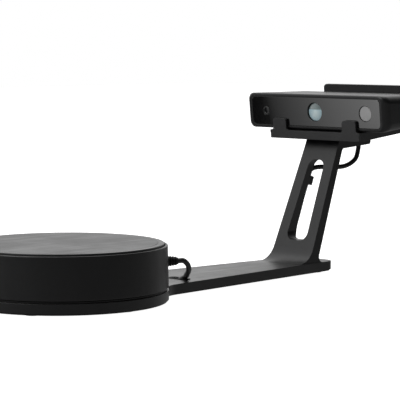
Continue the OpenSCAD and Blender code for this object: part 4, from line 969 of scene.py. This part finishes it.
def make_screws(name, node, out, slot, **sizes):
    """Screws in place of a node's, with their heads' tops facing out."""
    turn = Vector((0, 0, 1)).rotation_difference(out)
    spots, length = screw_spots(node, turn)
    data = bpy.data.meshes.new(name)
    data.from_pydata(spots, [], [])
    piece = linked(name, data)
    maker = piece.modifiers.new("screws", "NODES")
    maker.node_group = SCREWS
    values = {"Length": length, "Turn": turn.to_euler(), "Finish": FINISHES[slot], **sizes}
    for item in SCREWS.interface.items_tree:
        if item.name in values and item.in_out == "INPUT":
            maker[item.identifier] = values[item.name]
    piece.data = applied(piece, maker)
    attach(piece, "stand_and_head")
    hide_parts(node)
    return piece


# ---- Camera, light and stage ----------------------------------------------------------------------

PHOTO_SPOT = (-1.4102, -1.4158, 0.2645)
PHOTO_TURN = (radians(85.03), 0, radians(-45.02))
PHOTO_LENS = 170.0
PHOTO_SENSOR = 36
NEAR_LIMIT = 0.05
FAR_LIMIT = 50
BRIGHT_SIDE = Vector((0.25, 0.93, 0.25)).normalized()
GLOW_RANGE = (-0.15, 0.80)
WORLD_DIM = 0.05
WORLD_BRIGHT = 0.45
FLOOR_SIZE = 12.0
FLOOR_LIFT = 1.0
FLOOR_CLOUDS = 3.0
FLOOR_TONES = (0.48, 0.52)
FLOOR_ROUGH = (0.26, 0.32)
FLOOR_SHINE = 0.25

# What the glossy window mirrors from the floor: a soft card, whose light grows from its edge at
# FLAG_EDGE, and beside it a dark flag. Both lie in one part of the floor, and the rest is dim.
FLAG_EDGE = 0.162
FLAG_SOFT = 0.003
FLAG_LIGHT = 0.02
MIRROR_DIM = 0.28
MIRROR_STEP = 0.22
MIRROR_SLOPE = 7.4
CARD_NEAR = (0.48, 0.56)
CARD_LEFT = (-0.14, -0.06)


def make_camera():
    data = bpy.data.cameras.new("photo_camera")
    data.lens = PHOTO_LENS
    data.sensor_width = PHOTO_SENSOR
    data.clip_end = FAR_LIMIT
    data.clip_start = NEAR_LIMIT
    camera = linked("photo_camera", data)
    camera.location = PHOTO_SPOT
    camera.rotation_euler = PHOTO_TURN
    bpy.context.scene.camera = camera


def make_softbox(name, spot, target, size, power):
    data = bpy.data.lights.new(name, "AREA")
    data.shape = "RECTANGLE"
    data.size, data.size_y = size
    data.energy = power
    lamp_or_painted_glow_middle = linked(name, data)
    lamp_or_painted_glow_middle.location = spot
    lamp_or_painted_glow_middle.rotation_euler = (Vector(target) - Vector(spot)).to_track_quat("-Z", "Y").to_euler()
    lamp_or_painted_glow_middle.visible_camera = False


def make_world():
    """White where the camera or clear glass looks, bright behind the object, dimmer elsewhere."""
    world = bpy.data.worlds.new("studio")
    bpy.context.scene.world = world
    world.use_nodes = True
    tree = world.node_tree
    tree.nodes.clear()
    towards = dot(tree, add(tree, "TexCoord").outputs["Generated"], BRIGHT_SIDE)
    glow = spread(tree, towards, *GLOW_RANGE)
    path = add(tree, "LightPath").outputs
    seen = maths(tree, "MAXIMUM", path["Is Camera Ray"], path["Is Transmission Ray"])
    mirrored = maths(tree, "MULTIPLY", path["Is Glossy Ray"], glow)
    level = spread(tree, glow, 0, 1, WORLD_DIM, WORLD_BRIGHT)
    strength = maths(tree, "MAXIMUM", maths(tree, "MAXIMUM", seen, mirrored), level)
    background = add(tree, "Background", {"Color": grey(1), "Strength": strength})
    add(tree, "OutputWorld", {"Surface": background.outputs[0]})


def along(tree, place, direction):
    """How far a place lies along a direction in the plan."""
    return dot(tree, place, Vector((*direction, 0)).normalized())


def mirrored_light(tree, place):
    """The light that glossy faces see on the floor: the card, the flag, and dim light round them."""
    across = along(tree, place, (1, 1))
    near = spread(tree, along(tree, place, (-1, 1)), *CARD_NEAR)
    inside = maths(tree, "MULTIPLY", near, spread(tree, across, *CARD_LEFT))
    past = spread(tree, across, FLAG_EDGE - FLAG_SOFT, FLAG_EDGE + FLAG_SOFT)
    on_card = maths(tree, "SUBTRACT", 1.0, past)
    nearer = maths(tree, "SUBTRACT", FLAG_EDGE, across)
    slope = maths(tree, "MULTIPLY_ADD", nearer, MIRROR_SLOPE, MIRROR_STEP)
    card = maths(tree, "MULTIPLY_ADD", on_card, slope, FLAG_LIGHT)
    return add(tree, "Mix", {0: inside, 2: MIRROR_DIM, 3: card}, data_type="FLOAT").outputs[0]


def floor_material():
    """A pale, slightly glossy floor that is white to the camera, with its own light for glossy rays."""
    material = bpy.data.materials.new("pale_floor")
    material.use_nodes = True
    tree = material.node_tree
    tree.nodes.clear()
    place = object_place(tree)
    path = add(tree, "LightPath").outputs
    cloudy = noise(tree, place, FLOOR_CLOUDS)
    surface = add(tree, "BsdfPrincipled", {
        "Base Color": mixed(tree, cloudy, *map(grey, FLOOR_TONES)),
        "Roughness": spread(tree, cloudy, 0, 1, *FLOOR_ROUGH),
        "Specular IOR Level": FLOOR_SHINE,
        "Emission Color": grey(1),
        "Emission Strength": maths(tree, "MULTIPLY", path["Is Camera Ray"], FLOOR_LIFT),
    })
    mirror = add(tree, "Emission", {"Color": grey(1), "Strength": mirrored_light(tree, place)})
    values = {0: path["Is Glossy Ray"], 1: surface.outputs[0], 2: mirror.outputs[0]}
    either = add(tree, "MixShader", values)
    add(tree, "OutputMaterial", {"Surface": either.outputs[0]})
    return material


def make_floor():
    mesh = bmesh.new()
    bmesh.ops.create_grid(mesh, x_segments=1, y_segments=1, size=FLOOR_SIZE / 2)
    data = bpy.data.meshes.new("studio_floor")
    mesh.to_mesh(data)
    mesh.free()
    data.materials.append(floor_material())
    floor = linked("studio_floor", data)


# ---- The scene ------------------------------------------------------------------------------------

make_camera()
make_world()
make_floor()
make_softbox("left_softbox", (-1.9, 0.5, 1.5), (0, 0, 0.1), (1.4, 1.4), 22)
make_softbox("top_softbox", (0.2, 0.3, 2.2), (0, 0, 0), (2.0, 2.0), 16)

eased("cast_stand", "base_casting", "stand_and_head", "black_cast", 0.0007, clamp=True)
eased("head_cradle", "cradle", "stand_and_head", "black_sheet", 0.0004, clamp=True)
eased("drum_shell", "drum_housing", "stand_and_head", "drum_plastic", 0.0003)
eased("foot_cover", "underside_cover", "stand_and_head", "black_steel", 0.0003)
eased("head_back", "head_rear_cover", "stand_and_head", "head_plastic", 0.0003, clamp=True)
eased("leg_clip", "cable_clip", "stand_and_head", "clip_plastic", 0.00022)
eased("turning_plate", "turntable_plate", "turntable", "turntable_paint", 0.0004)
make_cable()
make_head_shell()
make_window()
make_projector_lens()
make_camera_unit("left_camera", CAMERA_Y, LEFT_R)
make_camera_unit("right_camera", -CAMERA_Y, CAMERA_R)
make_left_ring()
make_screws("foot_cover_screws", "cover_screws", DOWN, "steel", **M3_HEAD)
make_screws("back_cover_screws", "head_cover_screws", REAR, "steel", **M3_HEAD)
make_screws("head_screws", "head_fixing_screws", REAR, "steel", **M4_HEAD)

bpy.context.scene.view_settings.view_transform = "Standard"
